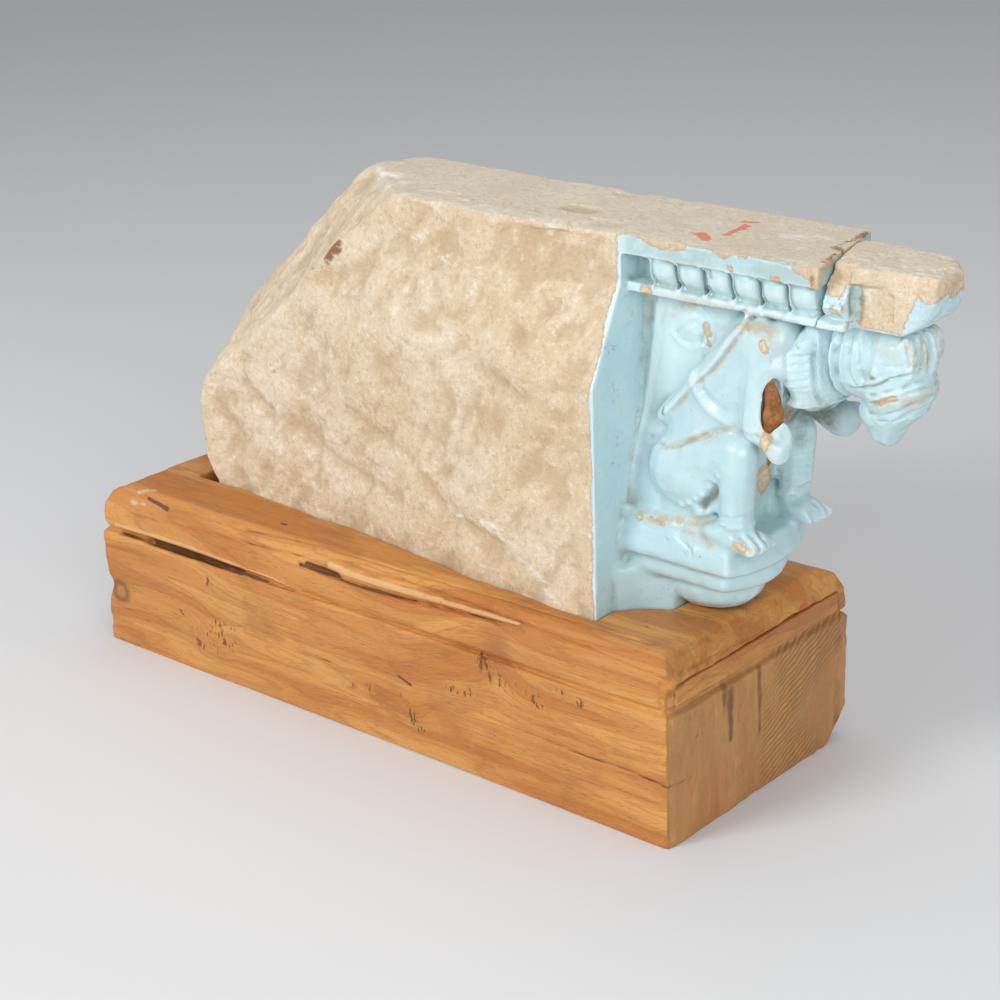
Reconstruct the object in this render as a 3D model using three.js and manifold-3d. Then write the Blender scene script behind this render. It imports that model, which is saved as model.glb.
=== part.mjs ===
// Carved stone corbel on a moulded wooden base.
//
// The corbel projects along +X: a rough tail that was once built into a wall, and in front of it
// a crouching lion between a dentilled slab and a small bracket. The slab's front end and the
// lion's head broke off once and are set back with a brown filler. The wooden base has a pocket
// cut to the stone's foot. +Y runs across, +Z is up, and the origin is the middle of the base's
// underside.
import * as THREE from 'three';
import { ConvexGeometry } from 'three/addons/geometries/ConvexGeometry.js';
import { mergeVertices } from 'three/addons/utils/BufferGeometryUtils.js';
import Module from 'manifold-3d';

const wasm = await Module();
wasm.setup();

// Wooden base
const baseLength = 412;
const baseWidth = 157;
const baseHeight = 100;
const mouldingHeight = 28;
const mouldingDepth = 8;
const rearMouldingDepth = 19;
const grooveDepth = 4;
const grooveHeight = 5;
const pocketDepth = 25;
const pocketClearance = 1;
const rearPocketSlack = 13;
const stripDepth = 12;
const stripHeight = 11;
const stripDrop = 15;
const stripEndInset = 8;

// Corbel as a whole
const meetingGap = 0.3;
const tailLength = 297;
const wallFromBaseEnd = 60;
const corbelHeight = 191;
const tailHalfWidthRear = 36;
const tailHalfWidthFront = 57;
const tailTopHalfWidth = 38;
const waviness = 2.4;
const rearBelly = 10;
const rearBellyHeight = 75;
const rooting = 6;

// Slab over the figure
const slabReach = 163;
const slabHalfWidth = 34;
const fasciaHeight = 10.5;
const dentilHeight = 14;
const dentilWidth = 12;
const dentilPitch = 15.6;
const dentilReach = 15;
const dentilCount = 9;
const filletHeight = 5;
const filletSetback = 3.5;
const brokenHalfWidth = 20;
const dentilStart = 16;
const noseRun = 18;

// Bracket under the figure. figureShift is how far the body and seat stand off the middle.
const figureShift = -5;
const seatReach = 66;
const seatHalfWidth = 33;
const seatHeight = 15;
const rollReach = 70;
const rollHalfWidth = 28;
const rollHeight = 13;
const bulbLength = 52;
const bulbWidth = 48;
const bulbHeight = 30;
const footReach = 22;
const footHalfWidth = 42;

// Places that follow from the sizes above
const baseTop = baseHeight;
const wallX = baseLength / 2 - wallFromBaseEnd;
const tailRearX = wallX - tailLength;
const corbelTop = baseTop + corbelHeight;
const corbelBottom = baseTop - pocketDepth + meetingGap;
const slabUnderside = corbelTop - fasciaHeight - dentilHeight - filletHeight;
const rollBottom = baseTop + bulbHeight * 0.6;
const seatBottom = rollBottom + rollHeight;
const seatTop = seatBottom + seatHeight;
const figureHeight = slabUnderside - seatTop;

// The figure is set out on a grid with 116 squares to its height, from the wall and the seat.
const square = figureHeight / 116;

// Materials
const materials = {
  rawStone: new THREE.MeshStandardMaterial({ color: 0xd9c7a8, roughness: 0.95, metalness: 0 }),
  paintedStone: new THREE.MeshStandardMaterial({ color: 0xb8dde2, roughness: 0.35, metalness: 0 }),
  filler: new THREE.MeshStandardMaterial({ color: 0x96602f, roughness: 0.8, metalness: 0 }),
  wood: new THREE.MeshStandardMaterial({ color: 0xc08a4c, roughness: 0.55, metalness: 0 }),
};

// Closed three.js geometry to a solid that can be joined and cut
function solid(geometry) {
  const plain = geometry.index ? geometry.toNonIndexed() : geometry.clone();
  for (const name of Object.keys(plain.attributes)) {
    if (name !== 'position') plain.deleteAttribute(name);
  }
  const merged = mergeVertices(plain, 1e-4);
  const mesh = new wasm.Mesh({
    numProp: 3,
    vertProperties: Float32Array.from(merged.attributes.position.array),
    triVerts: Uint32Array.from(merged.index.array),
  });
  return new wasm.Manifold(mesh);
}

// Solid back to a named three.js mesh
function namedMesh(name, body, material) {
  const { vertProperties, triVerts, numProp } = body.getMesh();
  const positions = new Float32Array(triVerts.length * 3);
  triVerts.forEach((vertex, corner) => {
    for (let axis = 0; axis < 3; axis++) {
      positions[corner * 3 + axis] = vertProperties[vertex * numProp + axis];
    }
  });
  const geometry = new THREE.BufferGeometry();
  geometry.setAttribute('position', new THREE.BufferAttribute(positions, 3));
  geometry.computeVertexNormals();
  const mesh = new THREE.Mesh(geometry, material);
  mesh.name = name;
  return mesh;
}

function union(bodies) {
  return bodies.reduce((whole, body) => whole.add(body));
}

function box(fromX, toX, fromY, toY, fromZ, toZ) {
  const geometry = new THREE.BoxGeometry(toX - fromX, toY - fromY, toZ - fromZ);
  geometry.translate((fromX + toX) / 2, (fromY + toY) / 2, (fromZ + toZ) / 2);
  return solid(geometry);
}

// Smooth noise from -1 to 1 that depends on the place alone
function lattice(i, j, k) {
  const mixed = Math.sin(i * 127.1 + j * 311.7 + k * 74.7) * 43758.5453;
  return 2 * (mixed - Math.floor(mixed)) - 1;
}

function noise(x, y, z, grain) {
  const place = [x / grain, y / grain, z / grain];
  const cell = place.map(Math.floor);
  const ease = place.map((value, axis) => THREE.MathUtils.smootherstep(value - cell[axis], 0, 1));
  let sum = 0;
  for (let corner = 0; corner < 8; corner++) {
    const step = [corner & 1, (corner >> 1) & 1, corner >> 2];
    const weight = step.reduce((w, s, axis) => w * (s ? ease[axis] : 1 - ease[axis]), 1);
    sum += weight * lattice(cell[0] + step[0], cell[1] + step[1], cell[2] + step[2]);
  }
  return sum;
}

const { lerp, smoothstep } = THREE.MathUtils;

// Half width of the rough tail: wide at the foot in front, narrower under the top bed
function tailHalfWidth(x, z) {
  const foot = lerp(tailHalfWidthRear, tailHalfWidthFront, smoothstep(x, tailRearX, wallX));
  const crown = tailTopHalfWidth - (tailTopHalfWidth - slabHalfWidth) * smoothstep(x, wallX - 50, wallX);
  return lerp(foot, crown, smoothstep(z, corbelTop - 0.34 * corbelHeight, corbelTop - 0.16 * corbelHeight));
}

// Rough tail: a block hewn by hand, its faces wavy. grow makes the larger shape that the pocket takes.
function roughTail(grow) {
  const geometry = new THREE.BoxGeometry(1, 1, 1, 14, 3, 9);
  const position = geometry.attributes.position;
  const bottom = corbelBottom - grow;
  for (let i = 0; i < position.count; i++) {
    const along = position.getX(i) + 0.5;
    const across = position.getY(i) + 0.5;
    const up = position.getZ(i) + 0.5;
    const z = lerp(bottom, corbelTop, up);
    const overFoot = THREE.MathUtils.clamp((z - baseTop) / rearBellyHeight, 0, 1);
    const belly = rearBelly * Math.sin(Math.PI * overFoot);
    const x = lerp(tailRearX - belly - grow, wallX + grow, along);
    const half = tailHalfWidth(x, z) + grow;
    const side = across < 0.001 ? -1 : across > 0.999 ? 1 : 0;
    const wave = waviness * noise(x, side * 90, z, 34) * (1 - smoothstep(along, 0.93, 1));
    const rearWave = along < 0.001 ? waviness * noise(x, across * 70, z, 30) : 0;
    const y = lerp(-half, Math.min(half, slabHalfWidth + 0.4 * (corbelTop - z) + grow), across);
    position.setXYZ(i, x + rearWave, y + side * wave, z);
  }
  return solid(geometry);
}

// Space behind one slanting face along which the stone was split off. facing is the way the face
// looks and place a point on it.
function split(facing, place, pieces) {
  const size = 2 * tailLength;
  const geometry = new THREE.BoxGeometry(size, size, size / 2, pieces, pieces, 1);
  const position = geometry.attributes.position;
  for (let i = 0; i < position.count; i++) {
    if (position.getZ(i) < 0) {
      const wave = waviness * noise(position.getX(i), position.getY(i), 7, 38);
      position.setZ(i, position.getZ(i) + wave);
    }
  }
  geometry.translate(0, 0, size / 4);
  const turn = new THREE.Quaternion().setFromUnitVectors(new THREE.Vector3(0, 0, 1), facing.normalize());
  geometry.applyQuaternion(turn);
  geometry.translate(...place);
  return solid(geometry);
}

// The back of the tail was split off along two slanting faces that meet in a ridge
function rearSplits() {
  const nearFace = new THREE.Vector3(-0.52, -0.59, 0.61);
  const farFace = new THREE.Vector3(-0.65, 0.19, 0.74);
  const nearPlace = [wallX - 0.5 * tailLength, -tailHalfWidthRear, corbelTop];
  const farPlace = [wallX - 0.677 * tailLength, 0.3 * tailHalfWidthRear, corbelTop];
  return split(nearFace, nearPlace, 12).add(split(farFace, farPlace, 8));
}

// Outline in X and Z, or Y and Z, swept straight along the other axis
function sweptAlongY(points, fromY, toY) {
  const shape = new THREE.Shape(points.map(([x, z]) => new THREE.Vector2(x, z)));
  const geometry = new THREE.ExtrudeGeometry(shape, { depth: toY - fromY, bevelEnabled: false });
  geometry.rotateX(Math.PI / 2);
  geometry.translate(0, toY, 0);
  return solid(geometry);
}

function sweptAlongX(points, fromX, toX) {
  const shape = new THREE.Shape(points.map(([y, z]) => new THREE.Vector2(y, z)));
  const geometry = new THREE.ExtrudeGeometry(shape, { depth: toX - fromX, bevelEnabled: false });
  geometry.rotateX(Math.PI / 2);
  geometry.rotateZ(Math.PI / 2);
  geometry.translate(fromX, 0, 0);
  return solid(geometry);
}

function sweptUp(shape, fromZ, toZ, bevel = 0, segments = 3) {
  const geometry = new THREE.ExtrudeGeometry(shape, {
    depth: toZ - fromZ - 2 * bevel,
    bevelEnabled: bevel > 0,
    bevelThickness: bevel,
    bevelSize: bevel,
    bevelOffset: -bevel,
    bevelSegments: segments,
    curveSegments: 6,
  });
  geometry.translate(0, 0, fromZ + bevel);
  return solid(geometry);
}

// Moulded edge of the base in profile, from the body's face inwards and up to the top
function mouldingProfile(halfLength, lowDepth, highDepth) {
  const grooveTop = baseTop - mouldingHeight + grooveHeight / 2;
  const edge = (sign, depth) => [
    [sign * halfLength, 0],
    [sign * halfLength, grooveTop - grooveHeight],
    [sign * (halfLength - grooveDepth), grooveTop - grooveHeight / 2],
    [sign * (halfLength - 0.5), grooveTop],
    [sign * (halfLength - 0.1 * depth), lerp(grooveTop, baseTop, 0.45)],
    [sign * (halfLength - 0.4 * depth), lerp(grooveTop, baseTop, 0.8)],
    [sign * (halfLength - depth), baseTop],
  ];
  return [...edge(-1, lowDepth), ...edge(1, highDepth).reverse()];
}

function mouldedBeam() {
  const alongGrain = mouldingProfile(baseWidth / 2, mouldingDepth, rearMouldingDepth);
  const acrossGrain = mouldingProfile(baseLength / 2, rearMouldingDepth, mouldingDepth);
  const lengthwise = sweptAlongX(alongGrain, -baseLength / 2 - 1, baseLength / 2 + 1);
  return lengthwise.intersect(sweptAlongY(acrossGrain, -baseWidth / 2 - 1, baseWidth / 2 + 1));
}

// Foot of the bracket, the narrower tongue in front of the tail. It narrows in two steps.
function footOutline(grow) {
  const back = wallX - rooting - grow;
  const steps = [[0.1 * footReach, footHalfWidth], [0.4 * footReach + grow, 0.76 * footHalfWidth],
    [footReach + grow, 0.52 * footHalfWidth]];
  const outline = new THREE.Shape();
  outline.moveTo(back, -footHalfWidth - grow);
  for (const [reach, half] of steps) outline.lineTo(wallX + reach, -half - grow);
  for (const [reach, half] of steps.toReversed()) outline.lineTo(wallX + reach, half + grow);
  outline.lineTo(back, footHalfWidth + grow);
  return outline;
}

// Space that the stone's foot takes in the wood, longer behind than the stone
function pocket() {
  const above = baseTop + 2 * pocketDepth;
  const floor = baseTop - pocketDepth;
  const tail = roughTail(pocketClearance).intersect(
    box(-baseLength, baseLength, -baseWidth, baseWidth, floor, above));
  const slack = box(tailRearX - rearPocketSlack, tailRearX + rearPocketSlack, -tailHalfWidthRear - pocketClearance,
    tailHalfWidthRear + pocketClearance, floor, above);
  const foot = sweptUp(footOutline(pocketClearance), floor, above);
  return union([tail, slack, foot]);
}

// Strip of the end moulding, set into a rabbet across the beam's end
function endStripSpace(side, grow) {
  const outer = side * (baseLength / 2 + 2);
  const inner = side * (baseLength / 2 - stripDepth - grow);
  const top = baseTop - stripDrop + grow;
  const half = baseWidth / 2 - stripEndInset + grow;
  return box(Math.min(outer, inner), Math.max(outer, inner), -half, half, top - stripHeight - 2 * grow, top);
}

// One rounded form of the figure: the tight skin around its ellipsoids. Each ellipsoid is its
// centre and radii in squares, and a lean about Y in degrees.
function form(ellipsoids, grow = 0, around = 10, rings = 6) {
  const points = [];
  for (const [x, y, z, rx, ry, rz, lean = 0] of ellipsoids) {
    const ball = new THREE.SphereGeometry(1, around, rings);
    ball.rotateX(Math.PI / 2);
    ball.scale(rx * square + grow, ry * square + grow, rz * square + grow);
    ball.rotateY(THREE.MathUtils.degToRad(lean));
    ball.translate(wallX + x * square, y * square, seatTop + z * square);
    const position = ball.attributes.position;
    for (let i = 0; i < position.count; i++) {
      points.push(new THREE.Vector3().fromBufferAttribute(position, i));
    }
  }
  return solid(new ConvexGeometry(points));
}

// Lion's body, legs and arms, crouching on the seat with its back to the wall. The body sits a
// little nearer than the slab's middle.
function lionBody() {
  const middle = figureShift / square;
  const torso = form([[40, middle, 46, 27, 29, 27], [67, middle, 88, 20, 30, 31]], 0, 12, 8);
  const webProfile = [[-30, -8], [26, -8], [22, 20], [15, 54], [12, 118], [-14, 118], [-19, 54], [-29, 20]];
  const web = sweptAlongX(webProfile.map(([y, z]) => [y * square, seatTop + z * square]),
    wallX - rooting, wallX + 54 * square);
  const parts = [torso, web];
  for (const side of [-1, 1]) {
    const at = (x, y, z, rx, ry, rz, lean) => [x, middle + side * y, z, rx, ry, rz, lean];
    parts.push(form([at(35, 18, 30, 26, 15, 21)], 0, 12, 8));
    parts.push(form([at(42, 19, 37, 18, 14, 16), at(65, 24, 47, 11, 10, 10)]));
    parts.push(form([at(66, 25, 43, 10, 9.5, 10), at(65, 25, 14, 8.5, 8.5, 5)]));
    parts.push(form([at(65, 25, 12, 10.5, 10.5, 3.5)], 0, 10, 4));
    parts.push(form([at(56, 25, 4, 9, 8, 6), at(75, 25, 3.5, 8, 11, 6)]));
    for (let toe = 0; toe < 4; toe++) {
      parts.push(form([at(79 - 0.7 * Math.abs(toe - 1.5), 17 + 5.5 * toe, 2.5, 6, 3, 4.2)], 0, 6, 4));
    }
    parts.push(form([at(75, 19, 100, 11, 12, 15), at(77, 23, 62, 10, 9.5, 8)]));
    parts.push(form([at(70, 27, 110, 4.5, 5, 5), at(16, 17, 54, 4.5, 7, 4.5)], 0, 8, 4));
    parts.push(form([at(29, 8, 100, 14, 5.5, 10, -20)], 0, 10, 4));
    for (let lock = 0; lock < 5; lock++) {
      const turn = lerp(0.15, 1.2, lock / 4);
      parts.push(form([at(35 + 25 * Math.cos(turn), 27, 30 - 19 * Math.sin(turn), 3.2, 4.5, 3.2)], 0, 6, 4));
    }
  }
  parts.push(form([[77, -28, 62, 8.5, 8, 8], [87, -28, 58, 8, 8, 9]]));
  parts.push(form([[77, 18, 64, 9, 8.5, 9], [92, 18, 56, 10, 8, 9]]));
  parts.push(form([[92, 18, 56, 10, 8, 9], [101, 15, 62, 6, 6, 6]]));
  return union(parts);
}

// Stone under the figure: stepped seat, thick roll, bulb and the foot that stands in the wood
function bracket() {
  const bowed = (reach, half, bow) => {
    const outline = new THREE.Shape();
    outline.moveTo(wallX - rooting, figureShift - half);
    outline.lineTo(wallX + reach - bow, figureShift - half);
    outline.quadraticCurveTo(wallX + reach + bow, figureShift, wallX + reach - bow, figureShift + half);
    outline.lineTo(wallX - rooting, figureShift + half);
    return outline;
  };
  const step = seatHeight / 2;
  const bow = 0.12 * seatReach;
  const lower = sweptUp(bowed(seatReach + bow, seatHalfWidth, bow), seatBottom - 1, seatBottom + step, 1.5, 1);
  const upper = sweptUp(bowed(seatReach + 0.8 * bow, seatHalfWidth - 1.5, bow), seatBottom + step - 1, seatTop,
    1.5, 1);
  const ledgeHalf = 0.88 * seatHalfWidth;
  const ledge = box(wallX - rooting, wallX + 0.8 * seatReach, figureShift - ledgeHalf, figureShift + ledgeHalf,
    seatTop - 2, seatTop + 0.4 * seatHeight);
  const roll = sweptUp(bowed(rollReach, rollHalfWidth, 10), rollBottom, seatBottom + 0.5, 5, 2);
  const bulb = new THREE.SphereGeometry(1, 14, 8);
  bulb.rotateX(Math.PI / 2);
  bulb.scale(bulbLength / 2, bulbWidth / 2, bulbHeight / 2);
  bulb.translate(wallX + bulbLength / 2 + rooting, 0, rollBottom - 0.2 * bulbHeight);
  const aboveWood = box(wallX - baseWidth, wallX + baseWidth, -baseWidth, baseWidth, baseTop + meetingGap, seatTop);
  const foot = sweptUp(footOutline(0), corbelBottom, rollBottom + 4);
  const parts = [lower, upper, ledge, roll, solid(bulb).intersect(aboveWood), foot];
  for (const side of [-1, 1]) {
    const inner = figureShift + side * (seatHalfWidth - 10);
    const outer = figureShift + side * (seatHalfWidth + 1);
    parts.push(box(wallX + 0.65 * seatReach, wallX + seatReach, Math.min(inner, outer), Math.max(inner, outer),
      seatBottom + 0.5, seatTop - 1.5));
  }
  return union(parts);
}

// Slab over the figure: fascia, long dentils with a rounded lower edge, and a fillet
function slab(grow) {
  const fasciaBottom = corbelTop - fasciaHeight;
  const dentilBottom = fasciaBottom - dentilHeight;
  const core = slabHalfWidth - dentilReach;
  const start = wallX - rooting;
  const end = wallX + slabReach;
  const parts = [
    box(start, end + grow, -slabHalfWidth - grow, slabHalfWidth + grow, fasciaBottom - grow, corbelTop + grow),
    box(start, end, -core - grow, core + grow, slabUnderside, corbelTop),
    box(start, end, -slabHalfWidth + filletSetback - grow, slabHalfWidth - filletSetback + grow,
      slabUnderside - grow, dentilBottom + grow),
  ];
  const reach = slabHalfWidth - 0.5 + grow;
  const bottom = dentilBottom - grow;
  const round = dentilHeight / 2;
  for (let dentil = 0; dentil < dentilCount; dentil++) {
    const from = wallX + dentilStart + dentil * dentilPitch - grow;
    for (const side of [-1, 1]) {
      const profile = [[core - 2, fasciaBottom + 1], [reach, fasciaBottom + 1], [reach, bottom + round],
        [reach - 0.17 * round, bottom + 0.5 * round], [reach - 0.5 * round, bottom + 0.17 * round],
        [reach - round, bottom], [core - 2, bottom]];
      const points = profile.map(([y, z]) => [side * y, z]);
      parts.push(sweptAlongX(side > 0 ? points : points.reverse(), from, from + dentilWidth + 2 * grow));
    }
  }
  const thickness = corbelTop - slabUnderside;
  const noseShares = [[0.55, 0.17], [0.22, 0.41], [0.05, 0.65]];
  const nose = sweptAlongY([[start - 1, slabUnderside - grow], [end - noseRun, slabUnderside - grow],
    ...noseShares.map(([back, up]) => [end - back * noseRun + grow, slabUnderside + up * thickness]),
    [end + grow, corbelTop + grow], [start - 1, corbelTop + grow]], -baseWidth / 2, baseWidth / 2);
  return union(parts).intersect(nose);
}

// Lion's head bent down under the slab's front, with its ridged mane and folded collar
function lionHead(grow) {
  const parts = [
    form([[92, 0, 108, 13, 25, 12], [93, 0, 86, 12.5, 26, 20]], grow, 12, 6),
    form([[118, 0, 100, 17, 21, 23]], grow),
    form([[132, 0, 99, 20, 19, 20]], grow, 12, 6),
    form([[134, 0, 87, 18.5, 18.5, 15], [131, 0, 64, 8.5, 9, 9]], grow, 12, 8),
    form([[131, 0, 92, 22, 20.5, 3, -22]], grow, 12, 4),
  ];
  for (let ridge = 0; ridge < 5; ridge++) {
    const half = 27.5 - 0.6 * Math.abs(ridge - 2.5);
    parts.push(form([[92.5, 0, 74 + 9 * ridge, 13.5, half, 3.4]], grow, 12, 4));
  }
  for (let fold = 0; fold < 4; fold++) {
    parts.push(form([[104 + 5.6 * fold, 0, 100, 3, 25.5 - fold, 25 - fold]], grow, 8, 8));
  }
  for (let jowl = 0; jowl < 3; jowl++) {
    parts.push(form([[134, 0, 84 - 6 * jowl, 19 - 2 * jowl, 18.5 - 2 * jowl, 2.6, -12]], grow, 10, 4));
  }
  for (let tuft = -2; tuft <= 2; tuft++) {
    parts.push(form([[147 - 1.3 * Math.abs(tuft), 6 * tuft, 104, 6, 2.8, 11]], grow, 6, 6));
  }
  for (const side of [-1, 1]) {
    parts.push(form([[131, side * 17.5, 95, 4, 3.5, 2.6, -22]], grow, 6, 4));
  }
  return union(parts);
}

// Everything in front of the old break. The break's line is given from the top down as reach
// from the wall and height over the seat, in squares; on the slab it runs askew.
const breakLine = [[108, 160], [108, 134], [107, 118], [101, 112], [87.5, 94], [84, 76], [85, 56]];

function breakReach(y, height) {
  let reach = breakLine[0][0];
  for (let i = 1; i < breakLine.length; i++) {
    const [upperReach, upperHeight] = breakLine[i - 1];
    const [lowerReach, lowerHeight] = breakLine[i];
    if (height <= upperHeight && height >= lowerHeight) {
      reach = lerp(lowerReach, upperReach, (height - lowerHeight) / (upperHeight - lowerHeight));
    }
  }
  const skew = 0.22 * smoothstep(height, 108, 122);
  return reach - skew * (y / square + 20) + 0.8 * noise(y, height * square, 3, 9);
}

function frontOfBreak(grow) {
  const [lowest, highest] = [breakLine[breakLine.length - 1][1], breakLine[0][1]];
  const geometry = new THREE.BoxGeometry(1, 1, 1, 1, 8, 12);
  const position = geometry.attributes.position;
  for (let i = 0; i < position.count; i++) {
    const y = baseWidth * position.getY(i);
    const height = lerp(lowest, highest, position.getZ(i) + 0.5);
    const breakX = wallX + breakReach(y, height) * square - grow;
    const x = position.getX(i) < 0 ? breakX : wallX + 1.5 * slabReach;
    position.setXYZ(i, x, y, seatTop + height * square);
  }
  return solid(geometry);
}

// Stone lost from the front end of the slab on both sides
function slabLosses() {
  const front = wallX + slabReach;
  const breakX = wallX + breakLine[0][0] * square;
  const kept = breakX + dentilWidth + 2;
  const far = baseWidth;
  const above = corbelTop + far;
  const below = slabUnderside - filletHeight;
  const shelf = slabUnderside + 0.62 * (corbelTop - slabUnderside);
  const shelfStart = front - 0.7 * dentilPitch;
  const slope = [[-far, above], [-brokenHalfWidth + 1, above], [-brokenHalfWidth + 1, corbelTop - 4],
    [-slabHalfWidth - 2, slabUnderside + 9], [-far, slabUnderside + 9]];
  const corner = new THREE.Shape();
  corner.moveTo(front + far, 0.2 * brokenHalfWidth);
  corner.lineTo(front + far, far);
  corner.lineTo(front - 1.5 * brokenHalfWidth, far);
  corner.lineTo(front - 1.3 * brokenHalfWidth, brokenHalfWidth);
  corner.lineTo(front - 0.6 * brokenHalfWidth, 0.9 * brokenHalfWidth);
  corner.lineTo(front - 0.15 * brokenHalfWidth, 0.2 * brokenHalfWidth);
  return union([
    box(kept, front, -far, -brokenHalfWidth, below, above),
    box(shelfStart, front + far, -far, -brokenHalfWidth, shelf, above),
    box(shelfStart, front + far, -far, -1.25 * brokenHalfWidth, below, above),
    sweptAlongX(slope.reverse(), breakX - 2 * dentilPitch, kept + 1),
    sweptUp(corner, below, above),
    box(breakX - dentilPitch, front + far, brokenHalfWidth, far, slabUnderside + filletHeight, above),
    box(breakX - dentilPitch, front + far, 1.2 * brokenHalfWidth, far, below, above),
  ]);
}

// Brown filler worked into the gap between the shoulder and the mane
function filler(grow) {
  return form([[83, -28, 71, 4.5, 7, 18]], grow, 8, 6);
}

const front = lionHead(0).add(slab(0)).intersect(frontOfBreak(0));
const frontWithGap = lionHead(meetingGap).add(slab(meetingGap)).intersect(frontOfBreak(meetingGap));
const fragment = front.subtract(slabLosses()).subtract(filler(meetingGap));

const tail = roughTail(0).subtract(rearSplits());
const block = union([tail, slab(0), bracket(), lionBody()])
  .subtract(frontWithGap)
  .subtract(filler(meetingGap));

const stripWood = [-1, 1].map((side) => mouldedBeam().intersect(endStripSpace(side, 0)));
const beam = mouldedBeam()
  .subtract(pocket())
  .subtract(endStripSpace(-1, meetingGap))
  .subtract(endStripSpace(1, meetingGap));

const group = new THREE.Group();
group.add(
  namedMesh('base_block', beam, materials.wood),
  namedMesh('tail_end_strip', stripWood[0], materials.wood),
  namedMesh('head_end_strip', stripWood[1], materials.wood),
  namedMesh('corbel_block', block, materials.rawStone),
  namedMesh('front_fragment', fragment, materials.paintedStone),
  namedMesh('repair_fill', filler(0), materials.filler),
);

export default group;
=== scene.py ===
import math

import bpy
import numpy as np
from mathutils import Matrix, Vector


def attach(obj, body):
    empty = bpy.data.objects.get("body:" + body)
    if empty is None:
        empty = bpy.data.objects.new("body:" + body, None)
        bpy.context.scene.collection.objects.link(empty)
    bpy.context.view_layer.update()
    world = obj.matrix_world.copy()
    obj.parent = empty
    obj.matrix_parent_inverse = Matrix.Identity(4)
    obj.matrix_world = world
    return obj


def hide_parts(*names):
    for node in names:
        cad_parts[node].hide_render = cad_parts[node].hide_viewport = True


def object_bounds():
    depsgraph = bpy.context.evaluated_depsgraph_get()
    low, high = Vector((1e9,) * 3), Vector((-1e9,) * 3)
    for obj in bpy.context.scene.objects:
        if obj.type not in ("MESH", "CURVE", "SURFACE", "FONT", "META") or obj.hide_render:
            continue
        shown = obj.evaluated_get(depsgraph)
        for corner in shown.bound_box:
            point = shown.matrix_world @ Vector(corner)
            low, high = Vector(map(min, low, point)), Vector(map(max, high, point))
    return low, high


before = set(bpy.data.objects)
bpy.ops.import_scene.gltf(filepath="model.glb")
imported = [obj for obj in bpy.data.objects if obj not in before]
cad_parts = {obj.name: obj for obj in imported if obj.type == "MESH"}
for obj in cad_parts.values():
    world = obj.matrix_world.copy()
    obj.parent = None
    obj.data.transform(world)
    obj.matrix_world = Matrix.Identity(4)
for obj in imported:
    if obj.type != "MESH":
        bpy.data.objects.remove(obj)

cad_low, cad_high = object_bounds()
bpy.ops.object.select_all(action="DESELECT")

# Camera
# A long lens from a little above, to the right of the near long side, as the object was photographed.
# It leans by two degrees, and the whole stone and its base are in its frame.
azimuth, elevation, lean = (math.radians(angle) for angle in (41.299, 21.387, -1.868))
back = Vector((
    math.sin(azimuth) * math.cos(elevation), -math.cos(azimuth) * math.cos(elevation), math.sin(elevation)))
level = Vector((math.cos(azimuth), math.sin(azimuth), 0))
upright = back.cross(level)
right = level * math.cos(lean) + upright * math.sin(lean)
up = upright * math.cos(lean) - level * math.sin(lean)
bpy.ops.object.camera_add()
camera = bpy.context.object
camera.name = "camera"
camera.data.lens = 82.8
camera.data.sensor_width = 36
camera.data.clip_end = 20
camera.matrix_world = (
    Matrix.Translation((0.794975, -0.864625, 0.569832)) @ Matrix((right, up, back)).transposed().to_4x4())
bpy.context.scene.camera = camera


# Wooden beam
# The base is one old teak beam, sawn to length, with a moulding planed along its upper edges and a
# pocket chiselled in its top to the stone's foot. It is split along the grain, worn and spotted.
def choose(piece):
    bpy.ops.object.select_all(action="DESELECT")
    piece.select_set(True)
    bpy.context.view_layer.objects.active = piece


def workpiece(name, node):
    """A piece that starts as the merged copy of a solid from the frame."""
    piece = bpy.data.objects.new(name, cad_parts[node].data.copy())
    piece.data.name = name
    bpy.context.collection.objects.link(piece)
    piece.data.materials.clear()
    choose(piece)
    bpy.ops.object.mode_set(mode="EDIT")
    bpy.ops.mesh.select_all(action="SELECT")
    bpy.ops.mesh.remove_doubles(threshold=1e-6)
    bpy.ops.object.mode_set(mode="OBJECT")
    return piece


def work(piece, kind, **settings):
    """Adds a modifier with its settings and applies it."""
    choose(piece)
    modifier = piece.modifiers.new(kind.title(), kind)
    for setting, value in settings.items():
        setattr(modifier, setting, value)
    bpy.ops.object.modifier_apply(modifier=modifier.name)


def places(piece):
    """The piece's vertices in millimetres."""
    flat = np.empty(3 * len(piece.data.vertices))
    piece.data.vertices.foreach_get("co", flat)
    return 1000 * flat.reshape(-1, 3)


def facings(piece):
    flat = np.empty(3 * len(piece.data.vertices), np.float32)
    piece.data.vertex_normals.foreach_get("vector", flat)
    return flat.reshape(-1, 3).astype(float)


def reshape(piece, points):
    piece.data.vertices.foreach_set("co", (points / 1000).ravel())
    piece.data.update()


def record_on(piece, name, values):
    """Writes one value per vertex for the material to read."""
    layer = piece.data.attributes.new(name, "FLOAT", "POINT")
    layer.data.foreach_set("value", np.asarray(values, np.float32))


def rough(points, grain, seed=0):
    """Smooth noise from -1 to 1 with lumps about as large as grain, in millimetres."""
    place = points / grain + 17.3 * seed
    cell = np.floor(place)
    part = place - cell
    ease = part ** 3 * (part * (6 * part - 15) + 10)
    total = np.zeros(len(points))
    for corner in range(8):
        step = np.array([corner & 1, corner >> 1 & 1, corner >> 2])
        mixed = np.sin((cell + step) @ np.array([127.1, 311.7, 74.7])) * 43758.5453
        weight = np.prod(np.where(step, ease, 1 - ease), axis=1)
        total += weight * (2 * (mixed - np.floor(mixed)) - 1)
    return total


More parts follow.
